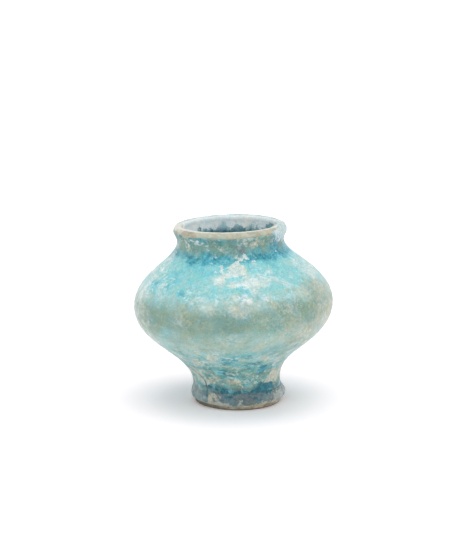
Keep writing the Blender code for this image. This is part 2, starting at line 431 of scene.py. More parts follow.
def wear_patches() -> list[Patch]:
    """The listed patches of the side that faces the viewer.

    Returns:
        The patches, from the lip down to the foot.
    """
    return [
        # Under the lip: deep glaze in thin lines, partly painted shade under the roll of the lip
        *marks(DEPTH, (-22, 85.7, 2.2, 0.9, 0.35), (-14, 85.8, 1.8, 0.7, 0.30),
               (-6, 85.2, 1.8, 1.4, 0.30), (9, 86.5, 9.0, 0.4, 0.30), (-30, 86.6, 8.0, 0.3, 0.25)),
        Patch(SAGE, -6, 85.2, 1.8, 1.4, -0.20),
        *spot(54, 81.6, 4.6, 2.2, {DEPTH: 0.20, SAGE: -0.40}),
        *marks(CRUST, (-42, 85.4, 1.6, 0.5, 0.46, -8), (-38, 84.2, 1.4, 0.4, 0.46, 30),
               (-35, 85.2, 1.2, 0.4, 0.44, 12), (-33, 83.6, 1.4, 0.4, 0.46, -14),
               (-29, 84.6, 1.2, 0.4, 0.46, 24), (-26, 83.2, 1.3, 0.4, 0.40, 6),
               (-46, 84.8, 1.4, 0.6, 0.32)),
        Patch(BARE, -52, 82.6, 3.0, 3.0, 0.26),
        Patch(CRUST, -51, 82.2, 2.0, 2.6, 0.22),
        Patch(RUST, -49, 81.6, 1.8, 1.4, 0.26),
        Patch(VIOLET, -50, 82.0, 3.2, 3.0, -0.30),
        Patch(BARE, -58, 82.5, 2.4, 2.0, 0.12),
        Patch(VIOLET, 11, 82.0, 4.0, 2.8, 0.34),
        Patch(BARE, 11, 82.4, 4.4, 3.0, 0.32),
        Patch(SAGE, 29, 83.8, 6.0, 2.8, 0.30),
        Patch(BARE, 28, 83.6, 6.6, 2.8, 0.46, 0, 0.4),
        Patch(RUST, 28, 83.8, 6.0, 2.6, 0.26),
        Patch(VIOLET, 28, 84.4, 4.4, 2.2, -0.25),
        Patch(RUST, 44, 85.0, 1.9, 1.0, 0.48, 20),
        Patch(CRUST, 64, 82.4, 0.9, 2.2, 0.43),
        # Rim of the coat at the sides and behind, where it runs up over the lip: pale crust, partly
        # a painted highlight where the far rim catches the light
        *[Patch(CRUST, bearing, 89.0, 9.0, 2.2, 0.50) for bearing in range(84, 277, 16)],
        # Band of deep glaze where the neck meets the shoulder
        *marks(DEPTH, (-27, 76.9, 8.5, 1.7, 0.16), (-43, 76.6, 4.0, 1.8, 0.12),
               (-12, 77.8, 4.2, 1.1, 0.17), (41, 77.6, 7.0, 1.8, 0.23), (65, 77.2, 6.0, 2.0, 0.19),
               (24, 77.2, 4.0, 1.3, 0.14)),
        *marks(CRUST, (6, 77.6, 0.8, 1.7, 0.37), (14, 77.6, 0.8, 1.4, 0.26, 8),
               (-18, 75.5, 0.5, 0.4, 0.56), (-8, 74.0, 0.6, 0.5, 0.56), (-36, 77.5, 0.4, 0.4, 0.50),
               (53, 78.2, 0.6, 0.5, 0.56)),
        # Shoulder
        Patch(DEPTH, -30, 73.0, 12.0, 3.0, 0.04),
        *spot(-32, 70.5, 15.0, 6.0, {CRUST: -0.30, BARE: -0.12}),
        *marks(DEPTH, (-38, 66.5, 9.0, 4.0, 0.06), (-32, 63.0, 3.8, 1.2, 0.22),
               (-48, 63.6, 2.6, 1.6, 0.17), (-60, 65.0, 2.6, 1.6, 0.14)),
        Patch(BARE, -38, 65.5, 1.0, 1.0, 0.45),
        *marks(CRUST, (-54, 65.6, 3.2, 2.4, 0.22), (-50, 53.5, 12.0, 5.0, -0.14)),
        Patch(RUST, -54, 66.0, 2.6, 2.0, 0.24),
        *marks(CRUST, (-62, 60.0, 3.0, 2.0, 0.15), (4, 73.0, 7.0, 2.0, 0.66, 26, 0.8),
               (11, 76.2, 3.6, 1.3, 0.48, 50, 0.8)),
        Patch(BARE, 5, 73.4, 6.0, 2.2, 0.30, 26, 0.8),
        *marks(CRUST, (-5, 70.4, 5.4, 1.6, 0.28, 20, 0.9), (-10, 68.0, 3.6, 1.6, 0.12, 0, 0.9),
               (-12, 65.0, 2.0, 3.0, -0.10), (12, 80.2, 3.0, 1.4, -0.30)),
        Patch(BARE, 12, 80.4, 3.0, 1.4, -0.20),
        *marks(CRUST, (16, 67.8, 7.0, 5.0, 0.28, 30, 0.9), (4, 67.2, 3.8, 1.0, 0.34, 10, 0.8),
               (8, 61.4, 8.0, 1.8, 0.20, 0, 0.8), (-22, 61.0, 6.0, 2.0, 0.14),
               (17.5, 71.6, 2.8, 1.5, -0.30), (5, 69.6, 3.2, 0.9, -0.40),
               (4, 64.4, 6.4, 1.6, -0.30), (31, 63.5, 3.8, 2.6, -0.20)),
        Patch(DEPTH, 19, 57.0, 1.5, 7.0, 0.11),
        *marks(CRUST, (47, 71.4, 4.2, 0.4, 0.37, 14), (45, 69.4, 3.8, 0.3, 0.31, -6),
               (22, 74.4, 2.0, 1.2, 0.13), (38, 71.5, 11.0, 4.0, -0.18),
               (-66, 66.0, 4.6, 4.6, 0.19)),
        # Paler, greyer glaze on both sides past 60 degrees from the front: partly wear, partly
        # painted sheen towards the edges
        Patch(BARE, 60, 60.0, 15.0, 5.0, 0.14, 0, 0.3),
        Patch(SAGE, 60, 60.0, 13.0, 6.0, 0.34, 0, 0.3),
        *marks(CRUST, (62, 60.0, 14.0, 5.0, -0.15, 0, 0.3), (78, 70.0, 12.0, 5.0, 0.20)),
        Patch(BARE, 76, 50.0, 20.0, 16.0, 0.24, 0, 0.2),
        Patch(CRUST, 78, 44.0, 15.0, 14.0, 0.22),
        Patch(BARE, -78, 50.0, 15.0, 14.0, 0.24),
        Patch(CRUST, -78, 54.0, 14.0, 18.0, 0.25),
        # Belly
        *marks(DEPTH, (-47, 55.0, 5.0, 3.0, 0.10), (-5, 54.0, 5.0, 2.2, 0.11),
               (30, 55.0, 2.6, 2.2, 0.14), (42, 54.6, 3.8, 2.6, 0.18), (55, 53.0, 3.0, 2.0, 0.12)),
        Patch(BARE, 7, 57.4, 6.0, 4.4, 0.27, 0, 0.6),
        Patch(SAGE, 7, 56.0, 7.0, 5.0, -0.20),
        *marks(RUST, (37, 54.0, 1.1, 3.0, 0.48, -8), (-17, 48.6, 1.2, 1.4, 0.48),
               (-52, 47.0, 1.2, 1.2, 0.36), (31, 45.0, 1.2, 1.0, 0.36)),
        *marks(DEPTH, (-28, 47.0, 3.6, 2.0, 0.11), (-10, 46.0, 2.6, 1.8, 0.11)),
        *marks(SAGE, (-13, 48.0, 7.0, 3.0, -0.16), (26, 50.0, 6.0, 2.4, -0.12)),
        *marks(DEPTH, (21.5, 46.0, 2.2, 2.2, 0.14), (-42, 46.6, 4.2, 2.0, 0.08),
               (-48, 42.5, 4.2, 3.2, 0.08)),
        # Paler patches low on both sides of the belly: partly wear, partly painted sheen towards
        # the edges
        Patch(BARE, 60, 43.0, 16.0, 8.0, 0.24, 0, 0.2),
        Patch(SAGE, 50, 36.0, 14.0, 9.0, 0.20, 0, 0.3),
        *spot(66, 31.0, 16.0, 7.0, {CRUST: 0.32, DEPTH: -0.26}),
        *spot(-70, 33.0, 12.0, 9.0, {CRUST: 0.34, DEPTH: -0.26}),
        # Flank
        *marks(BARE, (-11, 34.0, 5.0, 3.2, 0.26), (16, 36.6, 2.6, 1.6, 0.26),
               (-17, 30.0, 2.6, 3.2, 0.26)),
        *marks(DEPTH, (12, 32.0, 4.2, 0.5, 0.25, 2), (13, 30.4, 4.2, 0.4, 0.22, 2),
               (12, 33.6, 3.8, 0.35, 0.19, 3), (-41, 33.5, 3.4, 0.7, 0.19, -6),
               (-43, 31.2, 3.6, 0.5, 0.17, -8), (-43, 27.4, 3.6, 0.7, 0.22, -10),
               (-4, 27.0, 2.4, 1.8, 0.25), (24.5, 26.4, 1.8, 1.5, 0.25),
               (15, 25.6, 2.6, 1.0, 0.17)),
        Patch(BARE, -35, 26.4, 3.6, 2.2, 0.45, -20),
        *spot(25.5, 29.6, 2.6, 1.6, {BARE: 0.30, RUST: 0.20}),
        # Smaller places where the crust thins or thickens
        *spot(-63, 64.0, 5.0, 4.5, {CRUST: -0.34, DEPTH: 0.06}),
        *marks(CRUST, (-76, 77.0, 5.0, 4.0, 0.24), (1, 73.6, 6.4, 2.0, 0.30),
               (0, 77.2, 2.6, 2.0, 0.22)),
        Patch(DEPTH, 16, 77.6, 4.4, 1.6, -0.18),
        Patch(CRUST, 29, 65.5, 4.0, 3.0, -0.14),
        # Paler, less violet patch at the left edge of the neck: painted sheen where that edge meets
        # the bright background
        *spot(-76, 80.0, 6.0, 4.0, {VIOLET: -0.40, CRUST: 0.16}),
        *marks(DEPTH, (-19, 79.6, 3.0, 1.4, 0.20), (48, 76.0, 5.0, 2.0, 0.12)),
        *marks(CRUST, (52, 69.6, 6.0, 4.0, -0.24), (22, 63.5, 5.0, 3.0, -0.10)),
        *spot(-13, 57.5, 3.4, 3.0, {CRUST: 0.16, BARE: 0.12}),
        Patch(SAGE, 34, 56.4, 10.0, 4.0, 0.28),
        Patch(BARE, 36, 56.0, 8.0, 4.0, 0.08),
        *marks(CRUST, (66, 50.0, 8.0, 6.0, -0.12), (1, 49.0, 5.6, 3.6, -0.28)),
        Patch(BARE, 1, 49.0, 5.6, 3.4, -0.16),
        Patch(SAGE, 0, 48.0, 6.0, 3.0, 0.12),
        *marks(CRUST, (-20, 53.4, 4.0, 2.6, -0.14), (21, 34.5, 6.0, 3.0, -0.14),
               (44, 29.0, 4.0, 3.0, 0.14)),
        Patch(SAGE, -13, 20.8, 4.0, 2.4, -0.30),
        Patch(CRUST, 76, 6.4, 5.0, 3.0, 0.36),
        *spot(-34, 15.6, 3.6, 2.0, {BARE: -0.26, DEPTH: 0.10}),
        *marks(DEPTH, (11, 13.0, 3.0, 1.2, 0.14), (13, 5.4, 5.0, 2.0, 0.12)),
        # Waist
        Patch(BARE, -50, 16.0, 8.0, 4.6, 0.56),
        Patch(DEPTH, -48, 22.4, 3.8, 1.2, 0.28, -22),
        Patch(CRUST, -40, 19.0, 1.0, 2.6, 0.37, 22),
        *marks(DEPTH, (-35, 18.4, 2.4, 1.4, 0.22), (-23, 24.0, 2.8, 1.8, 0.22),
               (-10, 21.0, 2.6, 1.8, 0.22)),
        *marks(BARE, (-3, 14.8, 4.4, 1.6, 0.28), (5, 17.6, 1.6, 2.0, 0.20)),
        Patch(SAGE, -4, 15.4, 6.0, 2.4, 0.20),
        *marks(DEPTH, (30, 24.0, 2.2, 1.0, 0.24), (32, 18.0, 1.8, 1.4, 0.24),
               (31, 21.4, 2.6, 2.6, 0.20)),
        Patch(SAGE, 31, 21.4, 3.0, 3.0, -0.30),
        Patch(CRUST, 31, 21.4, 2.6, 2.6, -0.14),
        *marks(DEPTH, (-29, 22.6, 2.0, 1.0, 0.24), (-20, 15.0, 2.6, 1.2, 0.26),
               (-12, 17.6, 1.4, 2.6, 0.18), (22, 14.4, 3.2, 1.6, 0.22), (11, 17.8, 0.9, 2.0, 0.28),
               (33, 21.0, 3.0, 4.2, 0.19)),
        *marks(CRUST, (16.5, 14.6, 1.2, 1.0, 0.34), (21, 14.9, 1.2, 1.0, 0.31),
               (25, 14.4, 1.2, 0.9, 0.31)),
        *marks(BARE, (64, 15.0, 8.0, 3.4, 0.56), (49, 16.8, 4.0, 2.4, 0.24, 0, 1.2)),
        Patch(RUST, 63, 14.0, 2.0, 1.2, 0.28),
        # Pooled glaze above the roll
        *every(pool, (35, 10.6, 5.4, 2.0, 0.32, 1.0), (46, 10.8, 5.0, 2.2, 0.32, 1.0),
               (50, 10.8, 2.0, 1.6, 0.34, 0.2), (44, 10.2, 4.0, 1.2, 0.26, 0.3),
               (59, 9.9, 4.4, 0.8, 0.50, 0.4), (24, 9.4, 2.2, 0.8, 0.40, 0.5),
               (-21, 11.2, 3.0, 1.2, 0.40, 0.6), (-36, 11.6, 1.6, 0.9, 0.44, 0.5),
               (-26, 10.4, 1.8, 0.7, 0.40, 0.5), (-16, 9.3, 2.4, 0.8, 0.60, 0.3),
               (-3, 9.0, 1.4, 0.7, 0.60, 0.3), (4, 9.3, 0.9, 0.7, 0.56, 0.3),
               (11, 9.7, 1.3, 0.6, 0.56, 0.3), (18, 9.0, 1.2, 0.6, 0.56, 0.3)),
        *marks(DEPTH, (7.5, 9.3, 0.9, 1.0, -0.24, 0, 0.3), (-9.5, 9.4, 1.0, 1.0, -0.24, 0, 0.3),
               (37, 12.8, 3.0, 0.9, 0.18), (44, 8.4, 8.0, 1.4, 0.20), (-25, 14.4, 1.8, 0.8, 0.22)),
        Patch(VIOLET, 6, 11.2, 9.0, 1.4, 0.40),
        Patch(SAGE, 6, 11.8, 9.0, 1.4, 0.24),
        Patch(DEPTH, 6, 10.8, 9.0, 1.2, 0.12),
        # Foot
        *marks(BARE, (-34, 6.6, 2.6, 2.2, 0.44, 20), (-27, 7.4, 2.8, 1.6, 0.38)),
        Patch(RUST, -29, 6.4, 4.4, 2.6, 0.34),
        Patch(CRUST, -24, 5.6, 3.0, 1.6, 0.26),
        *every(pool, (-8, 7.3, 6.0, 1.1, 0.27, 0.8), (2, 6.4, 2.0, 0.8, 0.14, 0.9),
               (14, 6.8, 1.6, 0.7, 0.16, 0.9), (23, 5.8, 1.6, 0.8, 0.16, 0.9),
               (33, 7.0, 1.6, 0.6, 0.16, 0.9), (41, 5.6, 1.2, 1.0, 0.16, 0.9)),
        *spot(8, 5.0, 6.0, 3.0, {BARE: -0.24, CRUST: -0.10}),
        Patch(SAGE, -64, 8.0, 10.0, 6.0, 0.16),
        *marks(VIOLET, (-58, 10.8, 10.0, 2.8, 0.34, 0, 0.2), (-58, 6.0, 9.0, 4.0, -0.24, 0, 0.3)),
        Patch(DEPTH, -60, 8.0, 10.0, 5.0, -0.42, 0, 0.2),
        Patch(BARE, -62, 7.0, 10.0, 6.0, -0.24),
        *marks(CRUST, (-60, 7.0, 11.0, 6.0, -0.12, 0, 0.2), (-80, 6.0, 6.0, 5.0, 0.16)),
        # Crack along the edge of the drip, from the waist down to the roll
        *every(crack, *CRACK_LENGTHS),
        # Pale lump at the right of the foot
        Patch(CRUST, 66, 5.4, 7.0, 2.8, 0.70, 0, 0.3),
        Patch(VIOLET, 66, 5.4, 7.0, 2.6, -0.10),
        Patch(DEPTH, 67, 5.4, 6.6, 2.8, -0.50, 0, 0.3),
        # Just above the bare edge of the foot
        Patch(BARE, 8, 2.4, 15.0, 1.6, 0.30),
        Patch(RUST, 38, 1.4, 6.0, 1.0, 0.44),
    ]


def spot(bearing: float, height: float, across: float, up: float, layers: dict[Layer, float],
         slant: float = 0.0, ragged: float = 0.55) -> list[Patch]:
    """Patches of several layers in one place.

    Args:
        bearing: Where they lie round the jar, in degrees.
        height: Height of their middle, in millimetres.
        across: Their reach across, in millimetres.
        up: Their reach upwards, in millimetres.
        layers: How strong each layer's patch is.
        slant: Degrees that they are turned by.
        ragged: How broken their edges are.

    Returns:
        The patches, in the order of the layers.
    """
    return [Patch(layer, bearing, height, across, up, strength, slant, ragged)
            for layer, strength in layers.items()]


def marks(layer: Layer, *places: tuple[float, ...]) -> list[Patch]:
    """Patches of one layer, each given by its other fields."""
    return [Patch(layer, *place) for place in places]


def every(maker: Callable[..., list[Patch]], *places: tuple[float, ...]) -> list[Patch]:
    """All the patches that a maker of patches gives for a row of places."""
    return [patch for place in places for patch in maker(*place)]


def pool(bearing: float, height: float, across: float, up: float, strength: float,
         ragged: float) -> list[Patch]:
    """A pool of clear deep glaze, which keeps every other layer off.

    Args:
        bearing: Where it lies round the jar, in degrees.
        height: Height of its middle, in millimetres.
        across: Its reach across, in millimetres.
        up: Its reach upwards, in millimetres.
        strength: How deep the glaze is.
        ragged: How broken its edge is.

    Returns:
        The patches that make it.
    """
    layers = {DEPTH: strength, VIOLET: -1.2 * strength, CRUST: -0.8 * strength,
              BARE: -0.8 * strength, SAGE: -0.7 * strength}
    return spot(bearing, height, across, up, layers, 0.0, ragged)


# Bearing, height, slant and reach of each straight length of the crack
CRACK_LENGTHS = ((-59.0, 21.3, -43, 1.3), (-55.3, 19.9, -43, 1.3), (-51.6, 18.4, -43, 1.3),
                 (-48.0, 17.0, -43, 1.2), (-44.8, 15.4, -58, 1.2), (-42.6, 13.4, -72, 1.2),
                 (-41.6, 11.2, -86, 1.3), (-41.5, 8.8, -90, 1.4), (-41.0, 6.8, -80, 0.9))
CRACK_HALF_WIDTH_MM = 0.52


def crack(bearing: float, height: float, slant: float, along: float) -> list[Patch]:
    """One length of a dark crack: deep in colour, with neither crust nor bare clay on it.

    Args:
        bearing: Degrees from the front to the length's middle.
        height: Height of its middle, in millimetres.
        slant: Degrees that it climbs to the right.
        along: Its reach each way along the crack, in millimetres.

    Returns:
        The patches that make it, with the deep one first.
    """
    return spot(bearing, height, along, CRACK_HALF_WIDTH_MM,
                {DEPTH: 0.85, CRUST: -0.80, BARE: -0.80}, slant, 0.20)


def outside_rules() -> dict[Layer, Stations]:
    """How strong each layer is at each height of the outside, in millimetres.

    Returns:
        For each layer, heights with the layer's strength there.
    """
    return {
        # The deep glaze and olive film just under the lip, from 85 to 87 mm, are partly painted
        # shade under its roll
        DEPTH: ((0, .40), (4, .60), (7, .76), (9, .80), (11, .70), (13, .50), (18, .44), (26, .42),
                (33, .32), (40, .16), (50, .16), (57, .22), (64, .28), (70, .31), (73.5, .36),
                (76.3, .66), (79, .60), (82, .56), (86.3, .66), (88, .25), (90, .15)),
        CRUST: ((0, .18), (4, .15), (7, .10), (10, .14), (13, .24), (20, .26), (30, .32), (40, .32),
                (46, .22), (54, .22), (60, .37), (66, .40), (73, .35), (76, .08), (80, .16),
                (84, .29), (87, .27), (88.4, .34), (90, .50)),
        BARE: ((0, .80), (2, .68), (3.4, .50), (5, .22), (8, .12), (13, .28), (20, .26), (30, .24),
               (40, .24), (52, .20), (60, .20), (70, .04), (90, .04)),
        SAGE: ((0, .30), (8, .24), (10.5, .44), (12, .56), (15, .62), (20, .52), (27, .36),
               (34, .38), (44, .56), (49, .82), (54, .74), (60, .36), (66, .16), (75, .02),
               (78, .26), (81, .62), (85.2, .72), (86.4, .62), (88, .50), (90, .20)),
        VIOLET: ((0, .40), (2, .58), (5, .70), (7, .60), (9, .44), (11, .30), (13, .10), (76, .04),
                 (80, .34), (86, .30), (88, .05), (90, .05)),
        RUST: ((0, .30), (1.5, .25), (4, .14), (45, .16), (60, .10), (90, .10)),
    }


def inside_rules() -> dict[Layer, Stations]:
    """How strong each layer is at each height of the inside, in millimetres.

    Returns:
        For each layer, heights with the layer's strength there.
    """
    return {
        # Deeper glaze towards 78 mm is partly painted shade inside the mouth, and the crust that
        # rises to full towards the lip is partly a painted highlight on the top of the inner wall
        DEPTH: ((0, .70), (60, .85), (78, .98), (82.6, .92), (84.3, .62), (85.6, .38), (87, .20),
                (90, .10)),
        CRUST: ((0, .20), (60, .15), (78, .06), (82.6, .10), (84.3, .40), (85.6, .60), (87.4, .82),
                (90, 1.0)),
        BARE: ((0, .15), (90, .15)),
        SAGE: ((0, .30), (80, .20), (90, .10)),
        VIOLET: ((0, .40), (78, .28), (82, .34), (84, .36), (88, .10), (90, .05)),
        RUST: ((0, .15), (90, .08)),
    }


def run_rules() -> dict[Layer, Stations]:
    """How strong each layer is at each height of the pale run over the lip, in millimetres.

    Returns:
        For each layer, heights with the layer's strength there.
    """
    return {
        DEPTH: ((0, .55), (82, .50), (85, .34), (90, .15)),
        CRUST: ((0, .20), (82, .30), (85, .50), (88, .60), (90, .74)),
        BARE: ((0, .10), (87.8, .10), (88.9, .46), (90, .56)),
        SAGE: ((0, .20), (90, .15)),
        VIOLET: ((0, .50), (86, .46), (90, .30)),
        RUST: ((0, .08), (90, .08)),
    }


def inside_patches() -> list[Patch]:
    """The listed patches of the mouth's inner wall.

    Returns:
        The patches, left to right as they are seen through the mouth.
    """
    return [
        # Near-white crust on the left of the inner wall: partly crust, partly a painted highlight
        # where that wall is lit
        Patch(CRUST, -106, 86.0, 12.0, 5.0, 0.90, 0, 0.3),
        Patch(DEPTH, -106, 86.4, 12.0, 4.0, -0.40, 0, 0.3),
        *spot(-137, 85.4, 1.8, 1.8, {DEPTH: 0.50, CRUST: -0.65}),
        Patch(CRUST, -147, 86.6, 4.0, 3.0, 0.34),
        Patch(DEPTH, -147, 86.0, 4.0, 2.4, -0.20),
        Patch(CRUST, -162, 86.0, 2.6, 3.0, 0.36),
        Patch(VIOLET, -162, 86.4, 2.6, 3.0, 0.30),
        *marks(CRUST, (-171, 85.6, 1.6, 2.6, -0.30), (180, 86.0, 2.2, 3.0, 0.34),
               (172, 85.0, 1.2, 2.6, -0.36), (163, 85.6, 2.4, 2.6, 0.32),
               (150, 85.0, 2.4, 2.4, -0.26)),
        Patch(BARE, 160, 83.4, 3.0, 1.2, 0.40),
        *spot(112, 85.6, 4.6, 2.6, {DEPTH: 0.56, CRUST: -0.85}),
        *spot(96, 87.4, 6.0, 3.0, {CRUST: 0.45, BARE: 0.45}),
    ]


@dataclass(frozen=True)
class Weathering:
    """The wear over the whole glazed surface: rules by height, patches and seeded noise.

    The rules in speckle, level and strokes say how strong the noise is, how far it is drawn
    out sideways and how strong the finest strokes are. The one in deepest caps the depth.
    """

    by_height: dict[Layer, Stations]
    patches: tuple[Patch, ...]
    cracks: tuple[Patch, ...] = ()
    grain_mm: float = 2.8
    upright: float = 1.0
    back_span: tuple[float, float] = (84.0, 276.0)
    back_patches: int = 230
    broad: float = 0.08
    speckle: Stations = ((0, .20), (4, .27), (8, .27), (11, .22), (24, .19), (34, .10),
                         (46, .07), (56, .05), (62, .09), (75, .10), (79, .17), (90, .16))
    level: Stations = ((0, .2), (10, .3), (15, .8), (34, 1.0), (44, .5), (56, .2), (90, .1))
    strokes: Stations = ((0, .10), (7, .12), (14, .17), (26, .15), (33, .11), (38, 0.0), (90, 0.0))
    deepest: Stations = ((0, 1.0), (13, 1.0), (18, .82), (76, .74), (90, .82))

    def back(self) -> list[Patch]:
        """Patches of the same kinds for the sides and back, drawn from the fixed seed.

        Returns:
            The patches, all of them away from the front.
        """
        draw = np.random.default_rng(int(Seed.BACK))
        drawn = []
        for _ in range(self.back_patches):
            pattern = self.patches[draw.integers(len(self.patches))]
            bearing = draw.uniform(*self.back_span)
            drawn.append(Patch(
                pattern.layer, bearing, pattern.height + draw.normal(0.0, 1.5),
                pattern.across * draw.uniform(0.7, 1.5), pattern.up * draw.uniform(0.7, 1.4),
                pattern.strength * draw.uniform(0.7, 1.0), draw.normal(0.0, 12.0),
                pattern.ragged))
        return drawn

    @staticmethod
    def laid(patch: Patch, surface: Surface, rough: Array) -> Array:
        """How strongly a patch covers each point.

        Args:
            patch: The patch to lay.
            surface: The points of the piece.
            rough: Noise that makes the patch's edge ragged.

        Returns:
            One value for each point, from 0 to the patch's strength.
        """
        turn = math.radians(patch.slant)
        right = np.radians(surface.away(patch.bearing)) * surface.radius
        rise = surface.height - patch.height
        across = (right * math.cos(turn) + rise * math.sin(turn)) / patch.across
        up = (rise * math.cos(turn) - right * math.sin(turn)) / patch.up
        distance = np.sqrt(across ** 2 + up ** 2) + rough * patch.ragged
        return patch.strength * (1.0 - eased(distance, 0.25, 1.50))

    @staticmethod
    def edge_noise(surface: Surface) -> Array:
        """The noise that makes the edges of patches ragged."""
        return surface.cloud(2.6, Seed.PATCH_EDGE, 4)

    def groove(self, surface: Surface) -> Array:
        """Where the cracks cut into the coat.

        Args:
            surface: The points of the piece.

        Returns:
            One value for each point, from 0 beside a crack to about 1 at its bottom.
        """
        rough = self.edge_noise(surface)
        depth = np.zeros(len(surface.height))
        for patch in self.cracks:
            depth = np.maximum(depth, self.laid(patch, surface, rough))
        return depth

    def fields(self, surface: Surface) -> dict[Layer, Array]:
        """The strength of every layer at every point.

        Args:
            surface: The points of the piece.

        Returns:
            For each layer, values from 0, where it is absent, to 1, where it covers all.
        """
        found = {}
        for number, layer in enumerate(Layer):
            wander = surface.height + 1.2 * surface.cloud(14.0, Seed.WANDER + number, 3)
            value = np.interp(wander, *zip(*self.by_height[layer]))
            value += self.broad * surface.cloud(9.0, Seed.BROAD + number, 3)
            stroke = surface.rule(self.level)
            noise = surface.cloud(self.grain_mm, Seed.MARKS + number, 4, self.upright)
            drawn = surface.cloud(4.4, Seed.DRAWN + number, 3, 0.42)
            noise = (1.0 - stroke) * noise + stroke * drawn
            value += surface.rule(self.speckle) * noise
            found[layer] = value
        fine = surface.cloud(1.5, Seed.STROKES, 3, 0.6)
        found[DEPTH] += surface.rule(self.strokes) * fine
        found[CRUST] -= 0.8 * surface.rule(self.strokes) * fine
        rough = self.edge_noise(surface)
        for patch in (*self.patches, *self.back()):
            found[patch.layer] += self.laid(patch, surface, rough)
        found[DEPTH] = np.minimum(found[DEPTH], surface.rule(self.deepest))
        return {layer: np.clip(value, 0.0, 1.0) for layer, value in found.items()}


@dataclass(frozen=True)
class Edges:
    """Where each coat of glaze ends, as lines that wander with the bearing."""

    top: float = 87.1
    low: float = 8.2
    foot: float = 2.0
    inner: float = 88.4
    roll: float = 9.0
    ring_mm: float = 24.0

    def top_at(self, surface: Surface) -> Array:
        """Height of the outer coat's upper edge at each point's bearing.

        Args:
            surface: The points of the piece.

        Returns:
            One height for each point, in millimetres.
        """
        streak = -1.2 * hill(surface.away(-52.0), 5.0)
        behind = 3.4 * eased(np.abs(surface.away(-2.0)), 80.0, 98.0)
        return self.top + 0.28 * self.wander(surface, Seed.TOP_EDGE, 3.0) + streak + behind

    def foot_at(self, surface: Surface) -> Array:
        """Height of the roll's lower edge at each point's bearing, in millimetres."""
        left = 0.5 * eased(-surface.away(0.0), 36.0, 46.0) * hill(surface.away(-75.0), 40.0)
        return self.foot + 0.5 * self.wander(surface, Seed.FOOT_EDGE, 6.0) + left

    def inner_at(self, surface: Surface) -> Array:
        """Height of the inner coat's upper edge at each point's bearing, in millimetres."""
        behind = 2.4 * eased(np.abs(surface.away(0.0)), 96.0, 116.0)
        return self.inner + 0.5 * self.wander(surface, Seed.INNER_EDGE, 5.0) + behind

    def roll_at(self, surface: Surface) -> Array:
        """Height of the roll's upper edge at each point's bearing, in millimetres."""
        return self.roll + 0.6 * self.wander(surface, Seed.ROLL_EDGE, 5.0)

    def outer_cover(self, at: Surface) -> Array:
        """How far each point lies inside the edges of the outer coat, in millimetres."""
        return np.minimum(self.top_at(at) - at.height, at.height - self.low)

    def roll_cover(self, at: Surface) -> Array:
        """How far each point lies inside the edges of the roll, in millimetres."""
        return np.minimum(self.roll_at(at) - at.height, at.height - self.foot_at(at))

    def inner_cover(self, at: Surface) -> Array:
        """How far each point lies inside the edge of the inner coat, in millimetres."""
        return self.inner_at(at) - at.height

    def run_cover(self, at: Surface) -> Array:
        """How far each point lies inside the edge of the run over the lip.

        Args:
            at: The points of the piece.

        Returns:
            One distance for each point, in millimetres.
        """
        right = np.radians(at.away(74.0)) * at.radius
        slope = 0.9 * np.maximum(88.0 - at.height, 0.0) + 8.0 * eased(at.height, 88.2, 89.4)
        slope = slope * (right < 0.0)
        reach = 13.2 - slope + 1.0 * self.wander(at, Seed.RUN_SIDE, 5.0)
        lower = at.height - 81.6 - 1.6 * self.wander(at, Seed.RUN_FOOT, 1.6)
        lower = np.where(at.radius < 24.4, at.height - 87.8, lower)
        return np.minimum(reach - np.abs(right), lower)

    def wander(self, surface: Surface, seed: int, size_mm: float) -> Array:
        """Noise that depends on the bearing alone, for an edge that runs round the jar.

        Args:
            surface: The points of the piece.
            seed: Number that picks the pattern.
            size_mm: Size of the largest waves on a ring about as wide as the foot.

        Returns:
            One value for each point.
        """
        turn = np.radians(surface.bearing)
        ring = np.stack([np.cos(turn) * self.ring_mm, np.sin(turn) * self.ring_mm, turn * 0.0],
                        axis=1)
        return Grain.cloud(ring, size_mm, seed, 4)


@dataclass(frozen=True)
class Hand:
    """How the potter's hand left the jar out of true: its lean, tilt and swollen foot."""

    lean: float = 0.0465
    waist_tilt: float = 0.0138
    belly_tilt: float = 0.0461
    rim_tilt: float = 0.0282
    flank_sway: float = 0.0011
    flank_sway_height: float = 0.0240
    flank_sway_reach: float = 0.0100

    @staticmethod
    def relief_mm(surface: Surface) -> Array:
        """Lumps and hollows that the clay and every coat share.

        Args:
            surface: The points of the piece.

        Returns:
            How far each point stands proud of the true form, in millimetres.
        """
        height = surface.height
        right_lump = 0.8 * hill(surface.away(90.0), 28.0) * hill(height - 4.5, 2.2)
        drip_edge = -38.0 - 2.0 * (height - 5.0)
        left_drip = 0.6 * eased(drip_edge - surface.bearing, 0.0, 5.0)
        left_drip = left_drip * hill(surface.away(-60.0), 34.0)
        left_drip = left_drip * eased(height, 2.0, 3.4) * (1.0 - eased(height, 12.0, 17.0))
        dent = -0.45 * hill(surface.away(-98.0), 44.0) * eased(height, 1.0, 4.0)
        dent = dent * (1.0 - eased(height, 13.0, 19.0))
        rings = np.sin(height * FULL_TURN / 3.1 + surface.cloud(40.0, Seed.RINGS, 2) * 2.0)
        rings = 0.045 * rings * eased(height, 10.0, 20.0) * (1 - eased(height, 66.0, 76.0))
        settled = np.where(height < 0.8, 0.0, 1.0)
        soft = 0.16 * surface.cloud(22.0, Seed.LUMPS, 2) * eased(height, 0.5, 6.0)
        return (right_lump + left_drip + dent + rings + soft) * settled


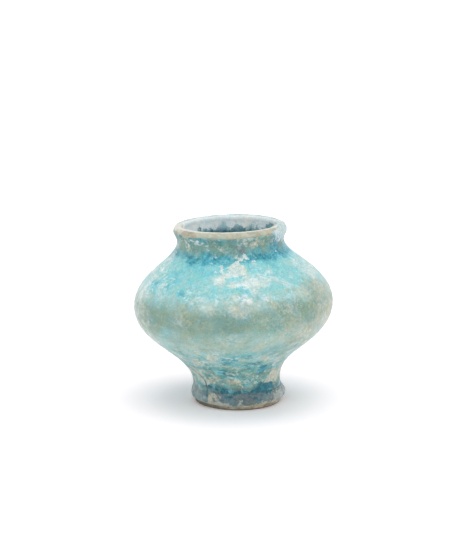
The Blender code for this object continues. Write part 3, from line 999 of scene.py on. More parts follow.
class NodeWriter:
    """Adds nodes to one node tree and joins them up."""

    def __init__(self, tree: bpy.types.NodeTree) -> None:
        """Keeps the tree that the nodes go into."""
        self.tree = tree

    def put(self, value: object, socket: Socket) -> None:
        """Links a socket to an input, or writes a plain value into it.

        Args:
            value: A socket to link, or the value to write.
            socket: The input that takes it.
        """
        if isinstance(value, bpy.types.NodeSocket):
            self.tree.links.new(value, socket)
        else:
            socket.default_value = value

    def add(self, kind: str, inputs: Optional[dict] = None, **settings: object) -> bpy.types.Node:
        """Adds one node.

        Args:
            kind: Blender's name for the node.
            inputs: Values or sockets for its inputs, by name or number.
            **settings: Properties of the node itself.

        Returns:
            The new node.
        """
        node = self.tree.nodes.new(kind)
        for name, value in settings.items():
            setattr(node, name, value)
        for key, value in (inputs or {}).items():
            self.put(value, node.inputs[key])
        return node

    def sum(self, operation: str, *values: object, clamp: bool = False) -> Socket:
        """Adds a Math node.

        Args:
            operation: Blender's name for the sum.
            *values: Its inputs, in order.
            clamp: Whether the result is kept between 0 and 1.

        Returns:
            The result's socket.
        """
        node = self.add("ShaderNodeMath", dict(enumerate(values)), operation=operation,
                        use_clamp=clamp)
        return node.outputs[0]

    def times(self, first: object, second: object) -> Socket:
        """Multiplies two values."""
        return self.sum("MULTIPLY", first, second)

    def scaled(self, value: object, low: object, high: object, to_low: object = 0.0,
               to_high: object = 1.0, smooth: bool = False) -> Socket:
        """Adds a Map Range node.

        Args:
            value: What is mapped.
            low: Value that becomes the new low.
            high: Value that becomes the new high.
            to_low: The new low.
            to_high: The new high.
            smooth: Whether the step eases in and out.

        Returns:
            The result's socket.
        """
        node = self.add("ShaderNodeMapRange", {0: value, 1: low, 2: high, 3: to_low, 4: to_high},
                        interpolation_type="SMOOTHSTEP" if smooth else "LINEAR")
        return node.outputs[0]

    def mixed(self, share: object, under: object, over: object, blend: str = "MIX") -> Socket:
        """Adds a Mix Color node.

        Args:
            share: How much of the upper colour shows.
            under: Lower colour.
            over: Upper colour.
            blend: Blender's name for the way they mix.

        Returns:
            The mixed colour's socket.
        """
        node = self.add("ShaderNodeMix", data_type="RGBA", blend_type=blend)
        self.put(share, node.inputs[0])
        for key, value in ((6, under), (7, over)):
            is_socket = isinstance(value, bpy.types.NodeSocket)
            self.put(value if is_socket else (*value, 1.0), node.inputs[key])
        return node.outputs[2]

    def tone(self, red: object, green: object, blue: object) -> Socket:
        """Makes a colour of three values."""
        return self.add("ShaderNodeCombineColor", {0: red, 1: green, 2: blue}).outputs[0]

    def noise(self, place: Socket, scale: object, detail: float = 2.0, rough: float = 0.5,
              distortion: float = 0.0) -> Socket:
        """Adds a Noise Texture node.

        Args:
            place: Where the noise is read.
            scale: How many features there are to a metre.
            detail: Number of finer layers.
            rough: How strong each finer layer is against the one before.
            distortion: How much the features are bent.

        Returns:
            The socket of its value, from 0 to 1.
        """
        node = self.add("ShaderNodeTexNoise", {
            "Vector": place, "Scale": scale, "Detail": detail, "Roughness": rough,
            "Distortion": distortion})
        return node.outputs[0]

    def kept(self, name: str) -> Socket:
        """Reads a number that the mesh keeps as an attribute."""
        node = self.add("ShaderNodeAttribute", attribute_name=name, attribute_type="GEOMETRY")
        return node.outputs["Fac"]

    def seen(self) -> Socket:
        """A mask of 1 for what the viewer sees, directly, in a gloss or through glass.

        Returns:
            The mask's socket.
        """
        path = self.add("ShaderNodeLightPath").outputs
        seen = self.sum("MAXIMUM", path["Is Camera Ray"], path["Is Glossy Ray"])
        return self.sum("MAXIMUM", seen, path["Is Transmission Ray"])


@dataclass(frozen=True)
class Input:
    """One input or output of a node group."""

    name: str
    kind: str
    default: object = None

    def declare(self, tree: bpy.types.NodeTree, direction: str) -> None:
        """Adds the socket to a tree's interface.

        Args:
            tree: The node group.
            direction: INPUT or OUTPUT.
        """
        socket = tree.interface.new_socket(name=self.name, in_out=direction, socket_type=self.kind)
        if self.default is not None:
            socket.default_value = self.default


FLOAT, COLOUR = "NodeSocketFloat", "NodeSocketColor"
WHOLE, SHAPE, LOOK = "NodeSocketInt", "NodeSocketGeometry", "NodeSocketMaterial"


class TurningTree:
    """The Geometry Nodes tree that turns an outline, then leans and tilts it by hand.

    The outline is a wire of points in the XZ plane with two attributes: outward, the way that
    the surface faces, and face, which is 1 where the surface shows and 0 on a hidden seat.
    """

    NAME = "turned_by_hand"

    def __init__(self, hand: Hand, form: JarForm) -> None:
        """Builds the tree once, with the jar's own lean and tilt as its defaults.

        Args:
            hand: How the potter's hand left the form out of true.
            form: The true turned form.
        """
        self.hand = hand
        self.form = form
        self.tree = self.build()

    def build(self) -> bpy.types.NodeTree:
        """Writes the tree.

        Returns:
            The finished node group.
        """
        tree = bpy.data.node_groups.new(self.NAME, "GeometryNodeTree")
        hand, form = self.hand, self.form
        sizes = [
            Input("Outline", SHAPE), Input("Around", WHOLE, 64), Input("Rows", WHOLE, 10),
            Input("Start", FLOAT, 0.0), Input("Sweep", FLOAT, FULL_TURN),
            Input("Lean", FLOAT, hand.lean), Input("Waist Tilt", FLOAT, hand.waist_tilt),
            Input("Belly Tilt", FLOAT, hand.belly_tilt), Input("Rim Tilt", FLOAT, hand.rim_tilt),
            Input("Waist Height", FLOAT, form.waist_height),
            Input("Belly Height", FLOAT, form.belly_height),
            Input("Jar Height", FLOAT, form.crest_height),
            Input("Sway", FLOAT, hand.flank_sway),
            Input("Sway Height", FLOAT, hand.flank_sway_height),
            Input("Sway Reach", FLOAT, hand.flank_sway_reach),
            Input("Weld", FLOAT, 0.000005), Input("Finish", LOOK),
        ]
        for size in sizes:
            size.declare(tree, "INPUT")
        Input("Turned", SHAPE).declare(tree, "OUTPUT")
        write = NodeWriter(tree)
        given = write.add("NodeGroupInput").outputs

        columns = write.sum("ADD", given["Around"], 1.0)
        grid = write.add("GeometryNodeMeshGrid", {"Vertices X": columns,
                                                  "Vertices Y": given["Rows"]})
        index = write.add("GeometryNodeInputIndex").outputs[0]
        middle = write.sum("ADD", index, 0.5)
        column = write.sum("FLOOR", write.sum("DIVIDE", middle, given["Rows"]))
        row = write.sum("SUBTRACT", index, write.times(column, given["Rows"]))
        share = write.sum("DIVIDE", column, given["Around"])
        angle = write.sum("MULTIPLY_ADD", share, given["Sweep"], given["Start"])

        place = self.read(write, given["Outline"], row, "FLOAT_VECTOR", None)
        outward = self.read(write, given["Outline"], row, "FLOAT_VECTOR", "outward")
        face = self.read(write, given["Outline"], row, "FLOAT", "face")
        turned, facing = [
            write.add("ShaderNodeVectorRotate", {"Vector": what, "Angle": angle},
                      rotation_type="Z_AXIS").outputs[0]
            for what in (place, outward)]

        moved = write.add("GeometryNodeSetPosition", {
            "Geometry": grid.outputs[0], "Position": self.by_hand(write, given, turned)})
        shape = moved.outputs[0]
        for name, kind, value in (("turned_place", "FLOAT_VECTOR", turned),
                                  ("outward", "FLOAT_VECTOR", facing), ("face", "FLOAT", face)):
            kept = write.add("GeometryNodeStoreNamedAttribute",
                             {"Geometry": shape, "Name": name, "Value": value},
                             data_type=kind, domain="POINT")
            shape = kept.outputs[0]
        welded = write.add("GeometryNodeMergeByDistance",
                           {"Geometry": shape, "Distance": given["Weld"]})
        smooth = write.add("GeometryNodeSetShadeSmooth", {"Geometry": welded.outputs[0]})
        real = write.add("GeometryNodeRealizeInstances", {"Geometry": smooth.outputs[0]})
        dressed = write.add("GeometryNodeSetMaterial",
                            {"Geometry": real.outputs[0], "Material": given["Finish"]})
        write.add("NodeGroupOutput", {0: dressed.outputs[0]})
        return tree

    @staticmethod
    def read(write: NodeWriter, outline: Socket, row: Socket, kind: str,
             name: Optional[str]) -> Socket:
        """Reads a value of the outline's point that a row of the grid stands for.

        Args:
            write: Writer of the tree.
            outline: The outline's geometry.
            row: Number of the point.
            kind: Data type of the value.
            name: Attribute to read, or None for the point's position.

        Returns:
            The value's socket.
        """
        if name is None:
            source = write.add("GeometryNodeInputPosition").outputs[0]
        else:
            source = write.add("GeometryNodeInputNamedAttribute", {"Name": name},
                               data_type=kind).outputs[0]
        sample = write.add("GeometryNodeSampleIndex", {"Geometry": outline, "Index": row},
                           data_type=kind, domain="POINT")
        write.put(source, sample.inputs["Value"])
        return sample.outputs[0]

    @staticmethod
    def by_hand(write: NodeWriter, given: bpy.types.bpy_prop_collection,
                turned: Socket) -> Socket:
        """Leans and tilts the true turned form.

        Args:
            write: Writer of the tree.
            given: The group's inputs.
            turned: Place on the true form.

        Returns:
            The socket of the place where the hand left it.
        """
        parts = write.add("ShaderNodeSeparateXYZ", {0: turned}).outputs
        away = write.sum("SUBTRACT", parts[2], given["Sway Height"])
        away = write.sum("POWER", write.sum("DIVIDE", away, given["Sway Reach"]), 2.0)
        sway = write.sum("EXPONENT", write.times(away, -1.0))
        sway = write.times(sway, given["Sway"])
        lean = write.sum("MULTIPLY_ADD", parts[2], given["Lean"], sway)
        grounded = write.sum("DIVIDE", parts[2], given["Waist Height"], clamp=True)
        lean = write.times(lean, grounded)
        stations = [(0.0, given["Waist Height"], 0.0, given["Waist Tilt"]),
                    (given["Waist Height"], given["Belly Height"], given["Waist Tilt"],
                     given["Belly Tilt"]),
                    (given["Belly Height"], given["Jar Height"], given["Belly Tilt"],
                     given["Rim Tilt"])]
        tilt: object = 0.0
        for low, high, low_tilt, high_tilt in stations:
            gain = write.sum("SUBTRACT", high_tilt, low_tilt)
            tilt = write.sum("ADD", tilt, write.scaled(parts[2], low, high, 0.0, gain))
        rise = write.sum("MULTIPLY_ADD", parts[0], tilt, parts[2])
        moved = write.add("ShaderNodeCombineXYZ",
                          {0: write.sum("SUBTRACT", parts[0], lean), 1: parts[1], 2: rise})
        return moved.outputs[0]


def placed(name: str, data: bpy.types.ID) -> bpy.types.Object:
    """Makes an object and puts it in the scene.

    Args:
        name: Name of the object.
        data: Its mesh, lamp or camera.

    Returns:
        The object.
    """
    item = bpy.data.objects.new(name, data)
    bpy.context.scene.collection.objects.link(item)
    return item


@dataclass
class Shell:
    """One turned piece: its outline with what shows and what is a hidden seat."""

    name: str
    points: Array
    outward: Array
    face: Array
    around: int = 432
    start: float = -math.pi / 2
    sweep: float = FULL_TURN

    @classmethod
    def coat(cls, name: str, face: Array, seat_rows: int = 18, ring: bool = True,
             **more: object) -> "Shell":
        """A coat of glaze: along its face, and back along its hidden seat on the clay.

        Args:
            name: Name of the piece.
            face: Line of the face.
            seat_rows: Number of points on the seat.
            ring: Whether the seat leads back to the face's start. If not, both end on the axis.
            **more: Other fields of the shell.

        Returns:
            The shell.
        """
        seat = Outline.sampled(Outline.shifted(face, -SEAT_DEPTH)[::-1], seat_rows)
        out, out_seat = Outline.facing(face), Outline.facing(seat[::-1])[::-1]
        rows = len(face) + len(seat) + ring
        points = np.vstack([face, seat, face[:1]])[:rows]
        outward = np.vstack([out, out_seat, out[:1]])[:rows]
        shown = np.concatenate([np.ones(len(face)), np.zeros(len(seat)), [1.0]])[:rows]
        return cls(name, points, outward, shown, **more)

    def wire(self) -> bpy.types.Mesh:
        """The outline as a mesh of points and edges with its attributes.

        Returns:
            The mesh that the turning tree reads.
        """
        mesh = bpy.data.meshes.new(self.name)
        flat = [(radius, 0.0, height) for radius, height in self.points]
        mesh.from_pydata(flat, [(number, number + 1) for number in range(len(flat) - 1)], [])
        out = np.stack([self.outward[:, 0], np.zeros(len(flat)), self.outward[:, 1]], axis=1)
        mesh.attributes.new("outward", "FLOAT_VECTOR", "POINT").data.foreach_set(
            "vector", out.astype(np.float32).ravel())
        mesh.attributes.new("face", "FLOAT", "POINT").data.foreach_set(
            "value", self.face.astype(np.float32))
        return mesh

    def turned(self, tree: TurningTree, finish: bpy.types.Material) -> bpy.types.Object:
        """Turns the outline with the tree and keeps the result as a plain mesh.

        Args:
            tree: The turning tree.
            finish: Material of the piece.

        Returns:
            The piece, with no modifier left on it.
        """
        item = placed(self.name, self.wire())
        modifier = item.modifiers.new("turning", "NODES")
        modifier.node_group = tree.tree
        values = {"Around": self.around, "Rows": len(self.points), "Start": self.start,
                  "Sweep": self.sweep, "Finish": finish}
        for socket in tree.tree.interface.items_tree:
            if socket.in_out == "INPUT" and socket.name in values:
                modifier[socket.identifier] = values[socket.name]
        bpy.context.view_layer.update()
        graph = bpy.context.evaluated_depsgraph_get()
        mesh = bpy.data.meshes.new_from_object(item.evaluated_get(graph))
        item.modifiers.clear()
        item.data = mesh
        mesh.name = self.name
        return item


class Meshes:
    """Reads and writes whole meshes as arrays."""

    @staticmethod
    def vectors(mesh: bpy.types.Mesh, name: str) -> Array:
        """Reads a vector attribute.

        Args:
            mesh: The mesh.
            name: Name of the attribute.

        Returns:
            One vector for each point.
        """
        flat = np.zeros(len(mesh.vertices) * 3, np.float32)
        mesh.attributes[name].data.foreach_get("vector", flat)
        return flat.reshape(-1, 3).astype(float)

    @staticmethod
    def values(mesh: bpy.types.Mesh, name: str) -> Array:
        """Reads a number attribute.

        Args:
            mesh: The mesh.
            name: Name of the attribute.

        Returns:
            One number for each point.
        """
        flat = np.zeros(len(mesh.vertices), np.float32)
        mesh.attributes[name].data.foreach_get("value", flat)
        return flat.astype(float)

    @staticmethod
    def keep(mesh: bpy.types.Mesh, name: str, values: Array) -> None:
        """Writes a number attribute, one value for each point.

        Args:
            mesh: The mesh.
            name: Name of the attribute.
            values: The numbers.
        """
        made = mesh.attributes.get(name) or mesh.attributes.new(name, "FLOAT", "POINT")
        made.data.foreach_set("value", values.astype(np.float32))

    @classmethod
    def pushed(cls, mesh: bpy.types.Mesh, amount_mm: Array) -> None:
        """Moves each point along its outward direction.

        Args:
            mesh: The mesh.
            amount_mm: How far each point moves, in millimetres.
        """
        moved = cls.vectors(mesh, "position") + cls.vectors(mesh, "outward") * (
            amount_mm[:, None] * MM)
        mesh.attributes["position"].data.foreach_set("vector", moved.astype(np.float32).ravel())
        mesh.update()

    @staticmethod
    def closed(mesh: bpy.types.Mesh) -> None:
        """Fills open ends, points the faces outwards and drops the helper attributes.

        Args:
            mesh: The mesh.
        """
        shape = bmesh.new()
        shape.from_mesh(mesh)
        rims = [edge for edge in shape.edges if edge.is_boundary]
        if rims:
            bmesh.ops.holes_fill(shape, edges=rims, sides=0)
            bmesh.ops.recalc_face_normals(shape, faces=shape.faces)
        if shape.calc_volume(signed=True) < 0:
            bmesh.ops.reverse_faces(shape, faces=shape.faces)
        for face in shape.faces:
            face.smooth = True
        shape.to_mesh(mesh)
        shape.free()
        for name in ("outward", "face", "turned_place"):
            spare = mesh.attributes.get(name)
            if spare:
                mesh.attributes.remove(spare)


@dataclass(frozen=True)
class GlazePalette:
    """Colours and gloss of one glaze, from a thin coat to a deep pool, and of its wear."""

    name: str
    thin: Colour = (0.38, 0.60, 0.57)
    body: Colour = (0.21, 0.60, 0.645)
    deep: Colour = (0.035, 0.33, 0.43)
    pool: Colour = (0.004, 0.12, 0.16)
    crust: Colour = (0.60, 0.69, 0.67)
    chalk: Colour = (0.84, 0.88, 0.85)
    bare: Colour = (0.60, 0.60, 0.51)
    sage: Colour = (0.195, 0.305, 0.235)
    violet: Colour = (0.14, 0.19, 0.21)
    rust: Colour = (0.46, 0.38, 0.28)
    gloss: float = 0.30
    matte: float = 0.78
    relief: float = 0.00022
    bump: float = 0.75
    bloom: float = 0.08
    bloom_roughness: float = 0.5
    shine: float = 0.38
    ior: float = 1.5
    grain: float = 1.0


@dataclass(frozen=True)
class ClayPalette:
    """Colours of the bare clay and its stains, with its painted shadow and painted highlight."""

    name: str
    body: Colour = (0.48, 0.48, 0.38)
    cream: Colour = (0.60, 0.61, 0.50)
    tan: Colour = (0.40, 0.35, 0.27)
    orange: Colour = (0.52, 0.38, 0.25)
    # Near black: grime at the base, and painted shadow along the base and under the drip at the
    # left of the foot
    grime_and_shadow: Colour = (0.10, 0.085, 0.07)
    film: Colour = (0.42, 0.55, 0.48)
    # Painted highlight along the crest of the lip and on the lit stretches of its rim
    lip_highlight: Colour = (0.80, 0.83, 0.78)
    roughness: float = 0.86
    relief: float = 0.00018
    bump: float = 0.7
    ior: float = 1.45


class SharedEffects:
    """Shader node groups that the glazes and the clay share."""

    def __init__(self) -> None:
        """Builds each group once."""
        self.grain = self.build_grain()
        self.ragged = self.build_ragged()
        self.glaze = self.build_glaze()

    @staticmethod
    def started(name: str, given: list[Input], made: list[Input]) -> tuple[
            bpy.types.NodeTree, NodeWriter, bpy.types.bpy_prop_collection]:
        """Starts a shader node group.

        Args:
            name: Name of the group.
            given: Its inputs.
            made: Its outputs.

        Returns:
            The group, its writer and the sockets of its inputs.
        """
        tree = bpy.data.node_groups.new(name, "ShaderNodeTree")
        for item in given:
            item.declare(tree, "INPUT")
        for item in made:
            item.declare(tree, "OUTPUT")
        write = NodeWriter(tree)
        return tree, write, write.add("NodeGroupInput").outputs

    def build_grain(self) -> bpy.types.NodeTree:
        """Noise of fired clay and worn glaze at three sizes, read from the object's own space.

        Returns:
            The group: values around zero for fine, medium and coarse grain, dark pits, lace,
            which is high along thin wandering threads, and warmth, which drifts slowly.
        """
        tree, write, given = self.started(
            "fired_grain",
            [Input("Fine Scale", FLOAT, 2400.0), Input("Medium Scale", FLOAT, 720.0),
             Input("Coarse Scale", FLOAT, 260.0), Input("Pit Scale", FLOAT, 620.0),
             Input("Lace Scale", FLOAT, 330.0), Input("Warmth Scale", FLOAT, 150.0)],
            [Input(name, FLOAT) for name in ("Fine", "Medium", "Coarse", "Pits", "Lace", "Warmth")])
        place = write.add("ShaderNodeTexCoord").outputs["Object"]
        found = []
        for name, detail, rough in (("Fine Scale", 2.0, 0.6), ("Medium Scale", 2.2, 0.55),
                                    ("Coarse Scale", 4.0, 0.6)):
            noise = write.noise(place, given[name], detail, rough)
            found.append(write.scaled(noise, 0.25, 0.75, -1.0, 1.0))
        cells = write.add("ShaderNodeTexVoronoi",
                          {"Vector": place, "Scale": given["Pit Scale"], "Randomness": 1.0})
        holes = write.scaled(cells.outputs["Distance"], 0.10, 0.24, 1.0, 0.0, smooth=True)
        chosen = write.scaled(found[2], 0.05, 0.45)
        pits = write.times(holes, chosen)
        threads = write.noise(place, given["Lace Scale"], 3.0, 0.5, 0.6)
        away = write.sum("ABSOLUTE", write.sum("SUBTRACT", threads, 0.5))
        lace = write.scaled(away, 0.0, 0.10, 1.0, -1.0)
        drift = write.noise(place, given["Warmth Scale"], 3.0, 0.65, 0.4)
        warmth = write.scaled(drift, 0.25, 0.75, -1.0, 1.0)
        write.add("NodeGroupOutput", dict(enumerate((*found, pits, lace, warmth))))
        return tree

    def build_ragged(self) -> bpy.types.NodeTree:
        """Turns a soft field into a crisp mask whose edge is broken up by grain.

        Returns:
            The group. A field of 0.5 covers half of the surface.
        """
        tree, write, given = self.started(
            "ragged_mask",
            [Input("Field", FLOAT, 0.0), Input("Grain", FLOAT, 0.0), Input("Break Up", FLOAT, 0.3),
             Input("Softness", FLOAT, 0.08)],
            [Input("Mask", FLOAT)])
        broken = write.sum("MULTIPLY_ADD", given["Grain"], given["Break Up"], given["Field"])
        low = write.sum("SUBTRACT", 0.5, given["Softness"])
        high = write.sum("ADD", 0.5, given["Softness"])
        write.add("NodeGroupOutput", {0: write.scaled(broken, low, high, smooth=True)})
        return tree

    def masked(self, write: NodeWriter, field_value: Socket, grain: Socket, break_up: object,
               softness: object) -> Socket:
        """Places the ragged mask group.

        Args:
            write: Writer of the tree that it goes into.
            field_value: The soft field.
            grain: The noise that breaks its edge.
            break_up: How much the noise moves the edge.
            softness: Half the width of the step.

        Returns:
            The mask's socket.
        """
        node = write.add("ShaderNodeGroup", node_tree=self.ragged)
        for name, value in (("Field", field_value), ("Grain", grain), ("Break Up", break_up),
                            ("Softness", softness)):
            write.put(value, node.inputs[name])
        return node.outputs["Mask"]

    def build_glaze(self) -> bpy.types.NodeTree:
        """Lays the wear of a glaze over its colour.

        Returns:
            The group: colour, roughness and the height of the fine relief.
        """
        colours = ["Thin", "Body", "Deep", "Pool", "Crust", "Chalk", "Bare", "Sage", "Violet",
                   "Rust"]
        tree, write, given = self.started(
            "weathered_glaze",
            [Input("Depth", FLOAT, 0.4)]
            + [Input(f"{name} Field", FLOAT, 0.0)
               for name in ("Crust", "Bare", "Sage", "Violet", "Rust")]
            + [Input(name, COLOUR, (0.5, 0.5, 0.5, 1.0)) for name in colours]
            + [Input("Gloss", FLOAT, 0.3), Input("Matte", FLOAT, 0.8),
               Input("Grain", FLOAT, 1.0)],
            [Input("Colour", COLOUR), Input("Roughness", FLOAT), Input("Height", FLOAT)])
        grain = write.add("ShaderNodeGroup", node_tree=self.grain).outputs
        fine, medium, coarse, pits, lace, warmth = (grain[number] for number in range(6))
        both = write.sum("MULTIPLY_ADD", medium, 0.95, write.times(fine, 0.08))

        pooled = write.scaled(given["Depth"], 0.50, 0.80, smooth=True)
        depth = write.sum("MULTIPLY_ADD", both, write.scaled(pooled, 0.0, 1.0, 0.07, 0.19),
                          given["Depth"])
        depth = write.sum("MULTIPLY_ADD", lace, write.scaled(pooled, 0.0, 1.0, 0.0, -0.10), depth)
        depth = write.sum("MULTIPLY_ADD", coarse, 0.13, depth, clamp=True)
        colour = write.mixed(write.scaled(depth, 0.10, 0.42), given["Thin"], given["Body"])
        colour = write.mixed(write.scaled(depth, 0.42, 0.75), colour, given["Deep"])
        colour = write.mixed(write.scaled(depth, 0.75, 1.0), colour, given["Pool"])

        sage = self.masked(write, given["Sage Field"], both, 0.12, 0.36)
        crisp = write.scaled(given["Depth"], 0.18, 0.50, smooth=True)
        crisp = write.times(crisp, write.scaled(sage, 0.0, 1.0, 1.0, 0.45))
        break_up = write.scaled(crisp, 0.0, 1.0, 0.10, 0.22)
        softness = write.scaled(crisp, 0.0, 1.0, 0.36, 0.16)
        lacing = write.times(lace, write.scaled(crisp, 0.0, 1.0, 0.01, 0.13))
        laced = write.sum("ADD", lacing, given["Crust Field"])
        violet = self.masked(write, given["Violet Field"], both, 0.14, 0.34)
        rust = self.masked(write, given["Rust Field"], both, 0.14, 0.30)
        bare = self.masked(write, given["Bare Field"], both, break_up, softness)
        crust = self.masked(write, laced, both, break_up, softness)
        colour = write.mixed(write.times(sage, 0.88), colour, given["Sage"])
        colour = write.mixed(write.times(violet, 0.80), colour, given["Violet"])
        colour = write.mixed(write.times(bare, 0.85), colour, given["Bare"])
        chalky = write.mixed(write.scaled(coarse, -0.5, 0.4), given["Crust"], given["Chalk"])
        colour = write.mixed(write.times(crust, 0.80), colour, chalky)
        colour = write.mixed(write.times(rust, 0.55), colour, given["Rust"])
        speckle = write.sum("MULTIPLY_ADD", medium, 0.42, write.times(fine, 0.90))
        speckle = write.times(speckle, write.scaled(crisp, 0.0, 1.0, 0.80, 1.28))
        speckle = write.times(speckle, write.scaled(given["Depth"], 0.36, 0.60, 1.0, 1.35))
        speckle = write.times(speckle, given["Grain"])
        shade = write.scaled(speckle, -0.8, 0.8, 0.72, 1.22)
        shade = write.times(shade, write.scaled(pits, 0.0, 1.0, 1.0, 0.72))
        warmer = write.times(warmth, write.scaled(sage, 0.0, 1.0, 0.07, 0.19))
        red = write.sum("MULTIPLY_ADD", shade, warmer, shade)
        blue = write.sum("SUBTRACT", shade, write.times(shade, warmer))
        colour = write.mixed(1.0, colour, write.tone(red, shade, blue), "MULTIPLY")

        dull = write.sum("MAXIMUM", crust, bare)
        dull = write.sum("MAXIMUM", dull, write.times(sage, 0.45))
        dull = write.sum("MULTIPLY_ADD", both, 0.10, dull, clamp=True)
        roughness = write.scaled(dull, 0.0, 1.0, given["Gloss"], given["Matte"])
        height = write.sum("MULTIPLY_ADD", crust, 0.40, write.times(bare, -0.45))
        height = write.sum("ADD", height, write.times(both, 0.30))
        height = write.sum("MULTIPLY_ADD", pits, -0.7, height)
        write.add("NodeGroupOutput", {0: colour, 1: roughness, 2: height})
        return tree


class Finishes:
    """Builds the materials of the jar and of its stage."""

    def __init__(self, effects: SharedEffects) -> None:
        """Keeps the shared groups that the materials use."""
        self.effects = effects

    @staticmethod
    def started(name: str) -> tuple[bpy.types.Material, NodeWriter, bpy.types.Node]:
        """Starts a material with a Principled shader.

        Args:
            name: Name of the material.

        Returns:
            The material, the writer of its tree and its shader.
        """
        material = bpy.data.materials.new(name)
        material.use_nodes = True
        tree = material.node_tree
        return material, NodeWriter(tree), tree.nodes["Principled BSDF"]

    def glaze(self, palette: GlazePalette) -> bpy.types.Material:
        """A weathered glaze that reads its wear from the mesh.

        Args:
            palette: Its colours and gloss.

        Returns:
            The material.
        """
        material, write, shader = self.started(palette.name)
        group = write.add("ShaderNodeGroup", node_tree=self.effects.glaze)
        reads = {"Depth": DEPTH, "Crust Field": CRUST, "Bare Field": BARE, "Sage Field": SAGE,
                 "Violet Field": VIOLET, "Rust Field": RUST}
        for name, layer in reads.items():
            write.put(write.kept(layer.value), group.inputs[name])
        for item in fields(palette):
            value = getattr(palette, item.name)
            if isinstance(value, tuple):
                group.inputs[item.name.capitalize()].default_value = (*value, 1.0)
        group.inputs["Gloss"].default_value = palette.gloss
        group.inputs["Matte"].default_value = palette.matte
        group.inputs["Grain"].default_value = palette.grain
        bump = write.add("ShaderNodeBump", {"Height": group.outputs["Height"],
                                            "Strength": palette.bump,
                                            "Distance": palette.relief})
        write.put(group.outputs["Colour"], shader.inputs["Base Color"])
        write.put(group.outputs["Roughness"], shader.inputs["Roughness"])
        write.put(bump.outputs[0], shader.inputs["Normal"])
        shader.inputs["IOR"].default_value = palette.ior
        shader.inputs["Specular IOR Level"].default_value = palette.shine
        shader.inputs["Sheen Weight"].default_value = palette.bloom
        shader.inputs["Sheen Roughness"].default_value = palette.bloom_roughness
        return material

    def clay(self, palette: ClayPalette) -> bpy.types.Material:
        """Bare fired clay with stains, painted shadow, a painted highlight, grain and the lines of
        the potter's sponge.

        Args:
            palette: Its colours.

        Returns:
            The material.
        """
        material, write, shader = self.started(palette.name)
        grain = write.add("ShaderNodeGroup", node_tree=self.effects.grain).outputs
        fine, medium, coarse, pits = (grain[number] for number in range(4))
        both = write.sum("MULTIPLY_ADD", medium, 0.6, write.times(fine, 0.4))
        place = write.add("ShaderNodeTexCoord").outputs["Object"]
        lines = write.add("ShaderNodeMapping", {"Vector": place, "Scale": (60.0, 60.0, 1500.0)})
        wiped = write.scaled(write.noise(lines.outputs[0], 1.0, 3.0), 0.3, 0.7, -1.0, 1.0)
        colour = write.mixed(write.scaled(coarse, -0.5, 0.7), palette.body, palette.cream)
        # The grime stain also paints shadow at the base and under the drip; the pale edge stain is
        # a painted highlight along the lip
        stains = {"film_stain": palette.film, "tan_stain": palette.tan,
                  "orange_stain": palette.orange, "grime_and_painted_shadow": palette.grime_and_shadow,
                  "painted_lip_highlight": palette.lip_highlight}
        for name, stain in stains.items():
            mask = self.effects.masked(write, write.kept(name), both, 0.30, 0.34)
            colour = write.mixed(write.times(mask, 0.8), colour, stain)
        shade = write.sum("MULTIPLY_ADD", wiped, 0.04, write.scaled(both, -0.8, 0.8, 0.90, 1.08))
        shade = write.times(shade, write.scaled(pits, 0.0, 1.0, 1.0, 0.7))
        colour = write.mixed(1.0, colour, write.tone(shade, shade, shade), "MULTIPLY")
        height = write.sum("MULTIPLY_ADD", wiped, 0.35, write.times(both, 0.4))
        height = write.sum("MULTIPLY_ADD", pits, -0.8, height)
        bump = write.add("ShaderNodeBump", {"Height": height, "Strength": palette.bump,
                                            "Distance": palette.relief})
        write.put(colour, shader.inputs["Base Color"])
        write.put(write.scaled(both, -1.0, 1.0, palette.roughness - 0.06,
                               palette.roughness + 0.06), shader.inputs["Roughness"])
        write.put(bump.outputs[0], shader.inputs["Normal"])
        shader.inputs["IOR"].default_value = palette.ior
        return material

    def floor(self, glow: float) -> bpy.types.Material:
        """The plain pale floor of the studio, which the camera sees a little overexposed.

        Args:
            glow: How much brighter the floor looks to the camera than to the jar.

        Returns:
            The material.
        """
        material, write, shader = self.started("studio_floor")
        place = write.add("ShaderNodeTexCoord").outputs["Object"]
        noise = write.noise(place, 3.0)
        colour = write.mixed(noise, (0.955, 0.945, 0.925), (0.965, 0.955, 0.935))
        shader.inputs["Roughness"].default_value = 0.9
        shader.inputs["Specular IOR Level"].default_value = 0.0
        seen = write.seen()
        colour = write.mixed(seen, colour, (0.965, 0.918, 0.944))
        write.put(colour, shader.inputs["Base Color"])
        share = write.times(seen, glow)
        extra = write.tone(share, write.times(share, 0.962), share)
        lift = write.add("ShaderNodeBsdfDiffuse", {"Color": extra})
        both = write.add("ShaderNodeAddShader", {0: shader.outputs[0], 1: lift.outputs[0]})
        write.put(both.outputs[0], write.tree.nodes["Material Output"].inputs["Surface"])
        return material


